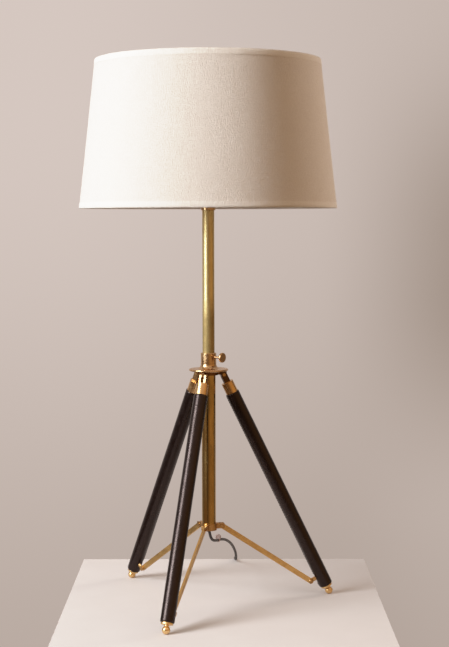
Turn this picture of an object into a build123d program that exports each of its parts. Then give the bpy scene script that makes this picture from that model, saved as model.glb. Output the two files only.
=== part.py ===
from build123d import *
import os
from math import atan2, cos, degrees, pi, radians, sin, sqrt, tan

# Table lamp on a folding leather-covered tripod.
# Millimetres, +Z up. The origin is on the stem's axis at the surface the feet stand on.

os.makedirs("parts", exist_ok=True)

# ---------------------------------------------------------------- driving dimensions
# tripod
leg_azimuths = (-108.0, 12.0, 132.0)
leg_tilt = 26.1
leg_length = 400.0  # hinge pin to the middle of the foot ball, along the leg
hinge_r = 24.0
hinge_pin_r = 1.6
hinge_boss_r = 5.0
hinge_lug_thickness = 4.2
fork_gap = 4.6
fork_thickness = 11.0
rivet_head_r = 2.6
rivet_head_height = 0.9

# leg
ferrule_start = 13.8  # distances along the leg, from the hinge pin
ferrule_end = 32.3
ferrule_wall = 1.1
ferrule_top = 2.8
core_r = 9.0
ferrule_step = 0.7  # ferrule's outside beyond the core, which the leather butts against
ferrule_r = core_r + ferrule_step
leather_wall = 1.95
leather_round = 2.2
leather_top_round = 0.7
foot_ball_r = 6.3
foot_flat_r = 1.8
foot_disc_step = 0.3  # disc's rim beyond the core
foot_disc_r = core_r + foot_disc_step
foot_disc_thickness = 3.0
foot_disc_round = 0.6
foot_disc_place = 7.8  # ball middle to the disc's far face
foot_neck_r = 3.4
foot_spigot_r = 3.0
foot_spigot_length = 12.0

# stays and sliding collar
stay_stud_place = 372.0  # along the leg
stay_standoff = 20.2  # leg axis to the stay's lower pivot
stay_width = 8.4
stay_thickness = 3.0
stay_pin_r = 1.5
stay_screw_r = 1.7
stay_screw_head_r = 3.8
stay_screw_head_height = 2.4
stud_r = 4.0
stud_thickness = 2.6
stud_spigot_r = 2.2
stud_spigot_depth = 5.0
collar_r = 12.6
collar_height = 8.6
collar_lug_pitch_r = 20.5
collar_lug_thickness = 8.0
collar_lug_round = 1.4
collar_slot = 3.5

# tubes
tube_r = 11.1
tube_length = 269.9
stem_r = 9.52
stem_wall = 1.2
stem_inside = 124.0  # hub top to the stem's lower end, at rest
stem_exposed = 226.0  # hub top to the underside of the stem cap, at rest
tube_foot_lip = 2.0
tube_foot_spigot = 6.0
tube_foot_bore_r = 5.0
bush_height = 5.0
bush_nose_r = 3.6

# hub
bracket_height = 6.6
bracket_r = 15.0
flange_r = 31.2
flange_thickness = 3.2
flange_round = 1.5
bell_height = 8.2
bell_round = 7.9
hub_collar_r = 12.3
hub_collar_height = 17.2
hub_collar_round = 1.2
hub_collar_chamfer = 0.4
hub_seat = 4.0  # how far the tube enters the hub collar
thumb_azimuth = -38.0
thumb_drop = 6.3  # hub top to the thumb screw's axis
thumb_shank_r = 2.0
thumb_tip_length = 1.3
thumb_head_start = 25.6
thumb_head_r = 7.8
thumb_head_thickness = 4.0
thumb_head_round = 1.3

# top of the stem
cap_r = 11.5
cap_height = 5.0
cap_round = 0.6
cap_spigot = 10.0
nipple_r = 4.8
nipple_bore_r = 3.2
nipple_reach = 10.0
saddle_half_width = 28.0
saddle_strip = 12.0
saddle_round = 3.0
saddle_thickness = 1.6
saddle_arm = 14.0
harp_rod_r = 2.0
harp_straight = 34.0
harp_half_width = 57.0
harp_shoulder = 22.0
harp_height = 213.0  # saddle to the harp's seat
harp_boss_r = 7.0
harp_boss_height = 3.0
harp_stud_r = 3.1
harp_stud_length = 12.0
sleeve_r = 3.5
sleeve_length = 16.0
finial_r = 6.5
finial_height = 17.0
finial_foot = 2.8
finial_neck_r = 4.6

# lampholder and bulb
socket_cap_r = 17.0
socket_cap_height = 18.0
socket_cap_round = 5.6
socket_wall = 0.7
socket_shell_r = 16.2
socket_shell_height = 36.0
interior_r = 15.3
interior_height = 20.0
screw_shell_r = 14.0
screw_shell_height = 26.0
bulb_cap_r = 12.9
bulb_cap_height = 25.0
bulb_cap_round = 4.3
bulb_r = 30.0
bulb_length = 84.0
bulb_neck_r = 13.5
bulb_wall = 0.9
key_azimuth = 205.0
key_place = 15.0  # above the underside of the lampholder's inside
key_shaft_r = 1.6
key_length = 18.0
key_knob_r = 4.2
key_knob_length = 9.0
lead_r = 2.25

# shade
shade_bottom_r = 203.2
shade_top_r = 177.25
shade_height = 231.1
shade_wall = 1.2
shade_drop = 13.0  # shade top to the spider's washer
shade_ring_r = 1.6
shade_ring_inset = 1.4
spider_azimuths = (30.0, 150.0, 270.0)
spider_rod_r = 1.5
spider_rise = 16.0
spider_washer_r = 9.5
spider_washer_thickness = 1.6

# cord
cord_r = 2.25
arc_share = 0.45  # of the shorter straight run beside a corner
coil_centre = (11.5, 340.0)
coil_turn_radii = (20.5, 25.0, 29.5)
coil_layers = 3
coil_lift = 1.0
tie_width = 8.0
tie_thickness = 0.8
tie_slack = 0.5
tie_azimuth = 235.0
clip_r = 4.4
clip_rod_r = 0.9
plug_length = 32.0
plug_width = 24.0
plug_height = 14.0
plug_round = 3.0
plug_nose_length = 14.0
plug_nose_r = 4.6
plug_nose_end_r = 3.15
blade_length = 17.0
blade_width = 6.35
blade_thickness = 1.5
blade_pitch = 12.7
blade_seat = 4.0

# ---------------------------------------------------------------- clearances
fixed_fit = 0.05  # radial, between pieces that are pressed or screwed together
sliding_fit = 0.08  # radial, between a tube or pin and what slides or turns on it
rest_gap = 0.05  # between flat faces of pieces that part when the lamp is moved
side_gap = 0.3  # beside a stay's end, and under the heads of its rivets
seat_gap = 0.15
overcut = 1.0  # how far a cut runs past the faces that it opens

# ---------------------------------------------------------------- places worked out
ball_height = sqrt(foot_ball_r**2 - foot_flat_r**2)
hinge_z = ball_height + leg_length * cos(radians(leg_tilt))
flange_z = hinge_z + bracket_height
bell_top_z = flange_z + flange_thickness + bell_height
hub_top_z = bell_top_z + hub_collar_height
tube_top_z = bell_top_z + hub_seat
tube_bottom_z = tube_top_z - tube_length
tube_inner_r = stem_r + sliding_fit
lip_z = tube_bottom_z - tube_foot_lip
collar_z = tube_bottom_z + rest_gap
collar_pin_z = collar_z + collar_height / 2
thumb_z = hub_top_z - thumb_drop

leg_down = Vector(sin(radians(leg_tilt)), 0, -cos(radians(leg_tilt)))
leg_out = Vector(cos(radians(leg_tilt)), 0, sin(radians(leg_tilt)))
leather_r = core_r + fixed_fit + leather_wall
leather_end = leg_length - foot_disc_place - foot_disc_thickness
stay_foot_x = hinge_r + stay_stud_place * leg_down.X - stay_standoff * leg_out.X
stay_foot_z = hinge_z + stay_stud_place * leg_down.Z - stay_standoff * leg_out.Z
stay_run = stay_foot_x - collar_lug_pitch_r
stay_fall = collar_pin_z - stay_foot_z
stay_length = sqrt(stay_run**2 + stay_fall**2)
stay_slope = degrees(atan2(stay_fall, stay_run))
stud_flat = stay_thickness / 2 + side_gap

stem_bottom_z = hub_top_z - stem_inside
cap_z = hub_top_z + stem_exposed
saddle_z = cap_z + cap_height + rest_gap
nipple_top_z = saddle_z + nipple_reach
socket_z = saddle_z + saddle_thickness + rest_gap
socket_shell_z = socket_z + socket_cap_height + rest_gap
interior_z = socket_z + socket_cap_height / 2
screw_shell_z = interior_z + interior_height + rest_gap
bulb_cap_z = screw_shell_z + socket_wall + side_gap
bulb_z = bulb_cap_z + bulb_cap_height + rest_gap
harp_top_z = saddle_z + harp_height
washer_z = harp_top_z + harp_boss_height + rest_gap
shade_top_z = washer_z + shade_drop
shade_bottom_z = shade_top_z - shade_height
finial_z = washer_z + spider_washer_thickness + rest_gap


def side_plane(azimuth: float) -> Plane:
    """Upright plane through the stem's axis: its x is the distance out, its y the height."""
    turn = radians(azimuth)
    return Plane(origin=(0, 0, 0), x_dir=(cos(turn), sin(turn), 0), z_dir=(sin(turn), -cos(turn), 0))


def leg_plane(azimuth: float, along: float = 0.0) -> Plane:
    """Plane square to a leg's axis, at a distance along the leg from its hinge pin."""
    side = side_plane(azimuth)
    start = (hinge_r + along * leg_down.X, hinge_z + along * leg_down.Z)
    down = side.from_local_coords(Vector(leg_down.X, leg_down.Z, 0)) - side.origin
    return Plane(origin=side.from_local_coords(Vector(*start, 0)), x_dir=side.z_dir, z_dir=down)


def stud_plane(azimuth: float, depth: float) -> Plane:
    """Plane square to a stay stud's axis, at a distance inward from the leg's axis."""
    side = side_plane(azimuth)
    x = hinge_r + stay_stud_place * leg_down.X - depth * leg_out.X
    z = hinge_z + stay_stud_place * leg_down.Z - depth * leg_out.Z
    inward = side.from_local_coords(Vector(-leg_out.X, -leg_out.Z, 0)) - side.origin
    return Plane(origin=side.from_local_coords(Vector(x, z, 0)), x_dir=side.z_dir, z_dir=inward)


def radial_plane(azimuth: float, distance: float, height: float) -> Plane:
    """Plane facing outward, square to a radius of the stem."""
    turn = radians(azimuth)
    out = Vector(cos(turn), sin(turn), 0)
    return Plane(origin=out * distance + Vector(0, 0, height), x_dir=(-out.Y, out.X, 0), z_dir=out)


def save(builder: BuildPart, name: str) -> None:
    """Label a finished piece and write it."""
    builder.part.label = name
    export_step(builder.part, f"parts/{name}.step")


# ---------------------------------------------------------------- hub
with BuildPart() as leg_bracket:
    with BuildSketch(Plane.XY.offset(hinge_z)):
        Circle(bracket_r)
    extrude(amount=bracket_height)
    for azimuth in leg_azimuths:
        with BuildSketch(side_plane(azimuth)):
            with Locations((hinge_r, hinge_z)):
                Circle(hinge_boss_r)
            lug_reach = hinge_r + hinge_boss_r - tube_r
            with Locations((tube_r + lug_reach / 2, hinge_z + bracket_height / 2)):
                Rectangle(lug_reach, bracket_height)
        extrude(amount=hinge_lug_thickness / 2, both=True)
        with BuildSketch(side_plane(azimuth)):
            with Locations((hinge_r, hinge_z)):
                Circle(hinge_pin_r + fixed_fit)
        extrude(amount=hinge_lug_thickness, both=True, mode=Mode.SUBTRACT)
    with BuildSketch(Plane.XY.offset(hinge_z - hinge_boss_r)):
        Circle(tube_r + fixed_fit)
    extrude(amount=bracket_height + 2 * hinge_boss_r, mode=Mode.SUBTRACT)
save(leg_bracket, "leg_bracket")

with BuildPart() as leg_pins:
    for azimuth in leg_azimuths:
        half = fork_thickness / 2 + seat_gap
        with BuildSketch(side_plane(azimuth)):
            with Locations((hinge_r, hinge_z)):
                Circle(hinge_pin_r)
        extrude(amount=half + rivet_head_height, both=True)
        for side in (-1, 1):
            with BuildSketch(side_plane(azimuth).offset(side * half)):
                with Locations((hinge_r, hinge_z)):
                    Circle(rivet_head_r)
            extrude(amount=side * rivet_head_height)
save(leg_pins, "leg_pins")

with BuildPart() as hub_flange:
    with BuildSketch(Plane.XZ):
        with BuildLine():
            Polyline(
                (tube_r + fixed_fit, flange_z),
                (flange_r, flange_z),
                (flange_r, flange_z + flange_thickness),
                (hub_collar_r, flange_z + flange_thickness),
                (hub_collar_r, bell_top_z),
                (tube_r + fixed_fit, bell_top_z),
                close=True,
            )
        make_face()
    revolve(axis=Axis.Z)
    rim = hub_flange.edges().filter_by(GeomType.CIRCLE).group_by(SortBy.RADIUS)[-1]
    fillet(rim, flange_round)
    waist = hub_flange.edges().filter_by(GeomType.CIRCLE).filter_by(
        lambda edge: abs(edge.radius - hub_collar_r) < fixed_fit
    )
    fillet(waist.sort_by(Axis.Z)[0], bell_round)
save(hub_flange, "hub_flange")

with BuildPart() as hub_collar:
    with BuildSketch(Plane.XZ):
        with BuildLine():
            Polyline(
                (tube_r + fixed_fit, bell_top_z + rest_gap),
                (hub_collar_r, bell_top_z + rest_gap),
                (hub_collar_r, hub_top_z),
                (tube_inner_r, hub_top_z),
                (tube_inner_r, tube_top_z + rest_gap),
                (tube_r + fixed_fit, tube_top_z + rest_gap),
                close=True,
            )
        make_face()
    revolve(axis=Axis.Z)
    outer_edges = hub_collar.edges().filter_by(GeomType.CIRCLE).group_by(SortBy.RADIUS)[-1]
    fillet(outer_edges.sort_by(Axis.Z)[-1], hub_collar_round)
    chamfer(outer_edges.sort_by(Axis.Z)[0], hub_collar_chamfer)
    with BuildSketch(radial_plane(thumb_azimuth, 0, thumb_z)):
        Circle(thumb_shank_r + fixed_fit)
    extrude(amount=hub_collar_r + overcut, mode=Mode.SUBTRACT)
save(hub_collar, "hub_collar")

thumb_tip_start = stem_r + 2 * sliding_fit
with BuildPart() as clamp_tip:
    with BuildSketch(radial_plane(thumb_azimuth, thumb_tip_start, thumb_z)):
        Circle(thumb_shank_r - fixed_fit)
    extrude(amount=thumb_tip_length)
save(clamp_tip, "clamp_tip")

thumb_start = thumb_tip_start + thumb_tip_length + rest_gap
with BuildPart() as thumb_screw:
    with BuildSketch(radial_plane(thumb_azimuth, thumb_start, thumb_z)):
        Circle(thumb_shank_r)
    extrude(amount=thumb_head_start - thumb_start)
    with BuildSketch(radial_plane(thumb_azimuth, thumb_head_start, thumb_z)):
        Circle(thumb_head_r)
    extrude(amount=thumb_head_thickness)
    head_rim = thumb_screw.edges().filter_by(GeomType.CIRCLE).group_by(SortBy.RADIUS)[-1]
    fillet(head_rim, thumb_head_round)
save(thumb_screw, "thumb_screw")

# ---------------------------------------------------------------- tubes
with BuildPart() as lower_tube:
    with BuildSketch(Plane.XY.offset(tube_bottom_z)):
        Circle(tube_r)
        Circle(tube_inner_r, mode=Mode.SUBTRACT)
    extrude(amount=tube_length)
save(lower_tube, "lower_tube")

with BuildPart() as tube_foot:
    with BuildSketch(Plane.XY.offset(lip_z)):
        Circle(collar_r)
    extrude(amount=tube_foot_lip)
    with BuildSketch(Plane.XY.offset(tube_bottom_z)):
        Circle(tube_inner_r - fixed_fit)
    extrude(amount=tube_foot_spigot)
    with BuildSketch(Plane.XY.offset(lip_z)):
        Circle(tube_foot_bore_r)
    extrude(amount=tube_foot_lip + tube_foot_spigot, mode=Mode.SUBTRACT)
save(tube_foot, "tube_foot")

with BuildPart() as upper_tube:
    with BuildSketch(Plane.XY.offset(stem_bottom_z)):
        Circle(stem_r)
        Circle(stem_r - stem_wall, mode=Mode.SUBTRACT)
    extrude(amount=cap_z - stem_bottom_z)
save(upper_tube, "upper_tube")

with BuildPart() as stem_cap:
    with BuildSketch(Plane.XY.offset(cap_z)):
        Circle(cap_r)
    extrude(amount=cap_height)
    fillet(stem_cap.edges().filter_by(GeomType.CIRCLE), cap_round)
    with BuildSketch(Plane.XY.offset(cap_z)):
        Circle(stem_r - stem_wall - fixed_fit)
    extrude(amount=-cap_spigot)
    with BuildSketch(Plane.XY.offset(cap_z - cap_spigot)):
        Circle(nipple_r + fixed_fit)
    extrude(amount=cap_spigot + cap_height, mode=Mode.SUBTRACT)
save(stem_cap, "stem_cap")

with BuildPart() as stem_nipple:
    with BuildSketch(Plane.XY.offset(cap_z - cap_spigot)):
        Circle(nipple_r)
        Circle(nipple_bore_r, mode=Mode.SUBTRACT)
    extrude(amount=nipple_top_z - cap_z + cap_spigot)
save(stem_nipple, "stem_nipple")

with BuildPart() as stem_lead:
    with BuildSketch(Plane.XY.offset(stem_bottom_z)):
        Circle(lead_r)
    extrude(amount=interior_z - rest_gap - stem_bottom_z)
save(stem_lead, "stem_lead")

# ---------------------------------------------------------------- sliding collar and stays
with BuildPart() as spreader_collar:
    with BuildSketch(Plane.XY.offset(collar_z)):
        Circle(collar_r)
    extrude(amount=collar_height)
    lug_end = collar_lug_pitch_r + stay_width / 2
    for azimuth in leg_azimuths:
        with BuildSketch(side_plane(azimuth)):
            with Locations(((lug_end + tube_r) / 2, collar_pin_z)):
                RectangleRounded(lug_end - tube_r, collar_height, collar_lug_round)
        extrude(amount=collar_lug_thickness / 2, both=True)
        slot_start = collar_lug_pitch_r - stay_width / 2 - side_gap
        with BuildSketch(side_plane(azimuth)):
            with Locations(((lug_end + slot_start) / 2 + overcut, collar_pin_z)):
                Rectangle(lug_end - slot_start + 2 * overcut, collar_height + overcut)
        extrude(amount=collar_slot / 2, both=True, mode=Mode.SUBTRACT)
        with BuildSketch(side_plane(azimuth)):
            with Locations((collar_lug_pitch_r, collar_pin_z)):
                Circle(stay_pin_r + fixed_fit)
        extrude(amount=collar_lug_thickness, both=True, mode=Mode.SUBTRACT)
    with BuildSketch(Plane.XY.offset(collar_z)):
        Circle(tube_r + sliding_fit)
    extrude(amount=collar_height, mode=Mode.SUBTRACT)
save(spreader_collar, "spreader_collar")

with BuildPart() as spreader_pins:
    for azimuth in leg_azimuths:
        half = collar_lug_thickness / 2 + seat_gap
        with BuildSketch(side_plane(azimuth)):
            with Locations((collar_lug_pitch_r, collar_pin_z)):
                Circle(stay_pin_r)
        extrude(amount=half + rivet_head_height, both=True)
        for side in (-1, 1):
            with BuildSketch(side_plane(azimuth).offset(side * half)):
                with Locations((collar_lug_pitch_r, collar_pin_z)):
                    Circle(rivet_head_r)
            extrude(amount=side * rivet_head_height)
save(spreader_pins, "spreader_pins")

for number, azimuth in enumerate(leg_azimuths, start=1):
    stay_middle = (collar_lug_pitch_r + stay_run / 2, collar_pin_z - stay_fall / 2)
    with BuildPart() as stay:
        with BuildSketch(side_plane(azimuth)):
            with Locations(stay_middle):
                SlotCenterToCenter(stay_length, stay_width, rotation=-stay_slope)
            with Locations((collar_lug_pitch_r, collar_pin_z)):
                Circle(stay_pin_r + sliding_fit, mode=Mode.SUBTRACT)
            with Locations((stay_foot_x, stay_foot_z)):
                Circle(stay_screw_r + fixed_fit, mode=Mode.SUBTRACT)
        extrude(amount=stay_thickness / 2, both=True)
    save(stay, f"stay_{number}")

    with BuildPart() as stay_screw:
        with BuildSketch(side_plane(azimuth).offset(-stay_thickness / 2)):
            with Locations((stay_foot_x, stay_foot_z)):
                Circle(stay_screw_r)
        extrude(amount=stay_thickness + rest_gap)
        with BuildSketch(side_plane(azimuth).offset(stay_thickness / 2 + rest_gap)):
            with Locations((stay_foot_x, stay_foot_z)):
                Circle(stay_screw_head_r)
        extrude(amount=stay_screw_head_height)
        head_edges = stay_screw.edges().filter_by(GeomType.CIRCLE).group_by(SortBy.RADIUS)[-1]
        outermost = head_edges.sort_by(Axis(side_plane(azimuth).origin, side_plane(azimuth).z_dir))[-1]
        fillet(outermost, stay_screw_head_height * 0.9)
    save(stay_screw, f"stay_screw_{number}")

# ---------------------------------------------------------------- legs
for number, azimuth in enumerate(leg_azimuths, start=1):
    with BuildPart() as ferrule:
        with BuildSketch(leg_plane(azimuth, ferrule_start)):
            Circle(ferrule_r)
        extrude(amount=ferrule_end - ferrule_start)
        with BuildSketch(leg_plane(azimuth, ferrule_start + ferrule_top)):
            Circle(ferrule_r - ferrule_wall)
        extrude(amount=ferrule_end - ferrule_start, mode=Mode.SUBTRACT)
        fork_side = Plane(
            origin=leg_plane(azimuth).origin,
            x_dir=leg_plane(azimuth).z_dir,
            z_dir=side_plane(azimuth).z_dir,
        )
        with BuildSketch(fork_side):
            Circle(hinge_boss_r)
            with Locations(((ferrule_start + ferrule_top / 2) / 2, 0)):
                Rectangle(ferrule_start + ferrule_top / 2, 2 * hinge_boss_r)
        extrude(amount=fork_thickness / 2, both=True)
        with BuildSketch(fork_side):
            with Locations(((ferrule_start - hinge_boss_r) / 2 - overcut, 0)):
                Rectangle(ferrule_start + hinge_boss_r + 2 * overcut, 2 * (hinge_boss_r + overcut))
        extrude(amount=fork_gap / 2, both=True, mode=Mode.SUBTRACT)
        with BuildSketch(fork_side):
            Circle(hinge_pin_r + sliding_fit)
        extrude(amount=fork_thickness, both=True, mode=Mode.SUBTRACT)
    save(ferrule, f"leg_{number}_ferrule")

    core_top = ferrule_start + ferrule_top + rest_gap
    core_end = leg_length - foot_disc_place - foot_disc_thickness - rest_gap
    stud_hole_r = stud_spigot_r + fixed_fit
    with BuildPart() as core:
        with BuildSketch(leg_plane(azimuth, core_top)):
            Circle(ferrule_r - ferrule_wall - fixed_fit)
        extrude(amount=ferrule_end - core_top + rest_gap)
        with BuildSketch(leg_plane(azimuth, ferrule_end + rest_gap)):
            Circle(core_r)
        extrude(amount=core_end - ferrule_end - rest_gap)
        with BuildSketch(leg_plane(azimuth, core_end)):
            Circle(foot_spigot_r + fixed_fit)
        extrude(amount=-foot_spigot_length - rest_gap, mode=Mode.SUBTRACT)
        with BuildSketch(stud_plane(azimuth, core_r - stud_spigot_depth)):
            Circle(stud_hole_r)
        extrude(amount=leather_r, mode=Mode.SUBTRACT)
    save(core, f"leg_{number}_core")

    with BuildPart() as sleeve:
        with BuildSketch(leg_plane(azimuth, ferrule_end + rest_gap)):
            Circle(leather_r)
        extrude(amount=leather_end - ferrule_end - rest_gap)
        along_leg = Axis(leg_plane(azimuth).origin, leg_plane(azimuth).z_dir)
        fillet(sleeve.edges().filter_by(GeomType.CIRCLE).sort_by(along_leg)[-1], leather_round)
        fillet(sleeve.edges().filter_by(GeomType.CIRCLE).sort_by(along_leg)[0], leather_top_round)
        with BuildSketch(leg_plane(azimuth, ferrule_end)):
            Circle(core_r + fixed_fit)
        extrude(amount=leather_end - ferrule_end + overcut, mode=Mode.SUBTRACT)
        with BuildSketch(stud_plane(azimuth, 0)):
            Circle(stud_hole_r)
        extrude(amount=2 * leather_r, mode=Mode.SUBTRACT)
    save(sleeve, f"leg_{number}_sleeve")

    foot_top = leg_length - foot_disc_place - foot_disc_thickness
    with BuildPart() as foot:
        with BuildSketch(leg_plane(azimuth, foot_top)):
            Circle(foot_disc_r)
        extrude(amount=foot_disc_thickness)
        fillet(foot.edges().filter_by(GeomType.CIRCLE), foot_disc_round)
        with BuildSketch(leg_plane(azimuth, foot_top - foot_spigot_length)):
            Circle(foot_spigot_r)
        extrude(amount=foot_spigot_length + foot_disc_thickness / 2)
        with BuildSketch(leg_plane(azimuth, foot_top)):
            Circle(foot_neck_r)
        extrude(amount=leg_length - foot_top)
        with Locations(leg_plane(azimuth, leg_length).location):
            Sphere(foot_ball_r)
        split(bisect_by=Plane.XY, keep=Keep.TOP)
    save(foot, f"leg_{number}_foot")

    with BuildPart() as stud:
        with BuildSketch(stud_plane(azimuth, leather_r + rest_gap)):
            Circle(stud_r)
        extrude(amount=stay_standoff - leather_r)
        with BuildSketch(side_plane(azimuth)):
            with Locations((stay_foot_x, stay_foot_z)):
                Circle(stud_r)
        extrude(amount=-stud_flat - stud_thickness)
        with BuildSketch(stud_plane(azimuth, leather_r + rest_gap)):
            with Locations((stud_r, 0)):
                Rectangle(2 * (stud_r + stud_flat), 3 * stud_r)
        extrude(amount=2 * stay_standoff, mode=Mode.SUBTRACT)
        with BuildSketch(stud_plane(azimuth, core_r - stud_spigot_depth + rest_gap)):
            Circle(stud_spigot_r)
        extrude(amount=leather_r + 2 * rest_gap - core_r + stud_spigot_depth)
    save(stud, f"stay_stud_{number}")

# ---------------------------------------------------------------- harp and saddle
with BuildPart() as harp_saddle:
    with BuildSketch(Plane.XY.offset(saddle_z)):
        Rectangle(2 * saddle_half_width + saddle_strip / 2, saddle_strip)
    extrude(amount=saddle_thickness)
    fillet(harp_saddle.edges().filter_by(Axis.Z), saddle_round)
    with BuildSketch(Plane.XY.offset(saddle_z + saddle_thickness)):
        with Locations((-saddle_half_width, 0), (saddle_half_width, 0)):
            Circle(harp_rod_r)
    extrude(amount=saddle_arm)
    with BuildSketch(Plane.XY.offset(saddle_z)):
        Circle(nipple_r + fixed_fit)
    extrude(amount=saddle_thickness, mode=Mode.SUBTRACT)
save(harp_saddle, "harp_saddle")

harp_foot_z = saddle_z + saddle_thickness + saddle_arm + rest_gap
harp_knee_z = harp_foot_z + harp_straight
harp_waist_z = harp_knee_z + harp_half_width - saddle_half_width
harp_shoulder_z = harp_top_z - (harp_half_width - harp_shoulder)
with BuildPart() as harp:
    with BuildLine(Plane.XZ):
        FilletPolyline(
            (-saddle_half_width, harp_foot_z),
            (-saddle_half_width, harp_knee_z),
            (-harp_half_width, harp_waist_z + harp_shoulder),
            (-harp_half_width, harp_shoulder_z),
            (-harp_shoulder, harp_top_z - harp_rod_r),
            (harp_shoulder, harp_top_z - harp_rod_r),
            (harp_half_width, harp_shoulder_z),
            (harp_half_width, harp_waist_z + harp_shoulder),
            (saddle_half_width, harp_knee_z),
            (saddle_half_width, harp_foot_z),
            radius=harp_shoulder,
        )
    with BuildSketch(Plane.XY.offset(harp_foot_z)):
        with Locations((-saddle_half_width, 0)):
            Circle(harp_rod_r)
    sweep()
    with BuildSketch(Plane.XY.offset(harp_top_z - harp_rod_r)):
        Circle(harp_boss_r)
    extrude(amount=harp_boss_height + harp_rod_r)
    with BuildSketch(Plane.XY.offset(harp_top_z)):
        Circle(harp_stud_r)
    extrude(amount=harp_boss_height + harp_stud_length)
save(harp, "harp")

for number, side in enumerate((-1, 1), start=1):
    with BuildPart() as harp_sleeve:
        with BuildSketch(Plane.XY.offset(saddle_z + saddle_thickness + rest_gap)):
            with Locations((side * saddle_half_width, 0)):
                Circle(sleeve_r)
                Circle(harp_rod_r + sliding_fit, mode=Mode.SUBTRACT)
        extrude(amount=sleeve_length + saddle_arm / 2)
    save(harp_sleeve, f"harp_sleeve_{number}")

with BuildPart() as finial:
    with BuildSketch(Plane.XY.offset(finial_z)):
        Circle(finial_r)
    extrude(amount=finial_foot)
    with BuildSketch(Plane.XY.offset(finial_z)):
        Circle(finial_neck_r)
    extrude(amount=finial_height - finial_r)
    with Locations((0, 0, finial_z + finial_height - finial_r)):
        Sphere(finial_r)
    with BuildSketch(Plane.XY.offset(finial_z)):
        Circle(harp_stud_r + sliding_fit)
    extrude(amount=harp_stud_length, mode=Mode.SUBTRACT)
save(finial, "finial")

# ---------------------------------------------------------------- lampholder and bulb
with BuildPart() as socket_cap:
    with BuildSketch(Plane.XY.offset(socket_z)):
        Circle(socket_cap_r)
    extrude(amount=socket_cap_height)
    fillet(socket_cap.faces().sort_by(Axis.Z)[0].edges(), socket_cap_round)
    with BuildSketch(Plane.XY.offset(interior_z - rest_gap)):
        Circle(socket_cap_r - socket_wall)
    extrude(amount=socket_cap_height, mode=Mode.SUBTRACT)
    with BuildSketch(Plane.XY.offset(socket_z)):
        Circle(nipple_r + fixed_fit)
    extrude(amount=socket_cap_height, mode=Mode.SUBTRACT)
save(socket_cap, "socket_cap")

with BuildPart() as socket_shell:
    with BuildSketch(Plane.XY.offset(socket_shell_z)):
        Circle(socket_shell_r)
        Circle(socket_shell_r - socket_wall, mode=Mode.SUBTRACT)
    extrude(amount=socket_shell_height)
    key_z = interior_z + key_place
    with BuildSketch(radial_plane(key_azimuth, 0, key_z)):
        Circle(key_shaft_r + fixed_fit)
    extrude(amount=socket_cap_r, mode=Mode.SUBTRACT)
save(socket_shell, "socket_shell")

with BuildPart() as socket_interior:
    with BuildSketch(Plane.XY.offset(interior_z)):
        Circle(interior_r)
    extrude(amount=interior_height)
save(socket_interior, "socket_interior")

with BuildPart() as switch_key:
    with BuildSketch(radial_plane(key_azimuth, interior_r + side_gap, key_z)):
        Circle(key_shaft_r)
    extrude(amount=key_length)
    with BuildSketch(radial_plane(key_azimuth, socket_shell_r + key_knob_r, key_z)):
        Circle(key_knob_r)
    extrude(amount=key_knob_length)
    fillet(switch_key.edges().filter_by(GeomType.CIRCLE).group_by(SortBy.RADIUS)[-1], key_shaft_r / 2)
save(switch_key, "switch_key")

with BuildPart() as screw_shell:
    with BuildSketch(Plane.XY.offset(screw_shell_z)):
        Circle(screw_shell_r)
    extrude(amount=screw_shell_height)
    with BuildSketch(Plane.XY.offset(screw_shell_z + socket_wall)):
        Circle(screw_shell_r - socket_wall)
    extrude(amount=screw_shell_height, mode=Mode.SUBTRACT)
save(screw_shell, "screw_shell")

with BuildPart() as bulb_cap:
    with BuildSketch(Plane.XY.offset(bulb_cap_z)):
        Circle(bulb_cap_r)
    extrude(amount=bulb_cap_height)
    fillet(bulb_cap.faces().sort_by(Axis.Z)[0].edges(), bulb_cap_round)
save(bulb_cap, "bulb_cap")

bulb_middle_z = bulb_z + bulb_length - bulb_r
with BuildPart() as bulb_globe:
    for inset, glass_mode in ((0, Mode.ADD), (bulb_wall, Mode.SUBTRACT)):
        with BuildSketch(Plane.XY.offset(bulb_z)):
            Circle(bulb_neck_r - inset)
        with BuildSketch(Plane.XY.offset(bulb_middle_z - bulb_r / 2)):
            Circle((bulb_r - inset) * sqrt(3) / 2)
        loft(mode=glass_mode)
        with Locations((0, 0, bulb_middle_z)):
            Sphere(bulb_r - inset, mode=glass_mode)
save(bulb_globe, "bulb_globe")

# ---------------------------------------------------------------- shade
shade_lean = (shade_bottom_r - shade_top_r) / shade_height
with BuildPart() as shade_drum:
    with BuildSketch(Plane.XZ):
        with BuildLine():
            Polyline(
                (shade_bottom_r - shade_wall, shade_bottom_z),
                (shade_bottom_r, shade_bottom_z),
                (shade_top_r, shade_top_z),
                (shade_top_r - shade_wall, shade_top_z),
                close=True,
            )
        make_face()
    revolve(axis=Axis.Z)
save(shade_drum, "shade_drum")

ring_margin = shade_wall + shade_ring_r + 3 * fixed_fit
top_ring_z = shade_top_z - shade_ring_inset - shade_ring_r
top_ring_r = shade_top_r + shade_lean * shade_ring_inset - ring_margin
with BuildPart() as shade_top_ring:
    with BuildSketch(Plane.XZ):
        with Locations((top_ring_r, top_ring_z)):
            Circle(shade_ring_r)
    revolve(axis=Axis.Z)
save(shade_top_ring, "shade_top_ring")

bottom_ring_z = shade_bottom_z + shade_ring_inset + shade_ring_r
bottom_ring_r = shade_bottom_r - shade_lean * (shade_ring_inset + 2 * shade_ring_r) - ring_margin
with BuildPart() as shade_bottom_ring:
    with BuildSketch(Plane.XZ):
        with Locations((bottom_ring_r, bottom_ring_z)):
            Circle(shade_ring_r)
    revolve(axis=Axis.Z)
save(shade_bottom_ring, "shade_bottom_ring")

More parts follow.
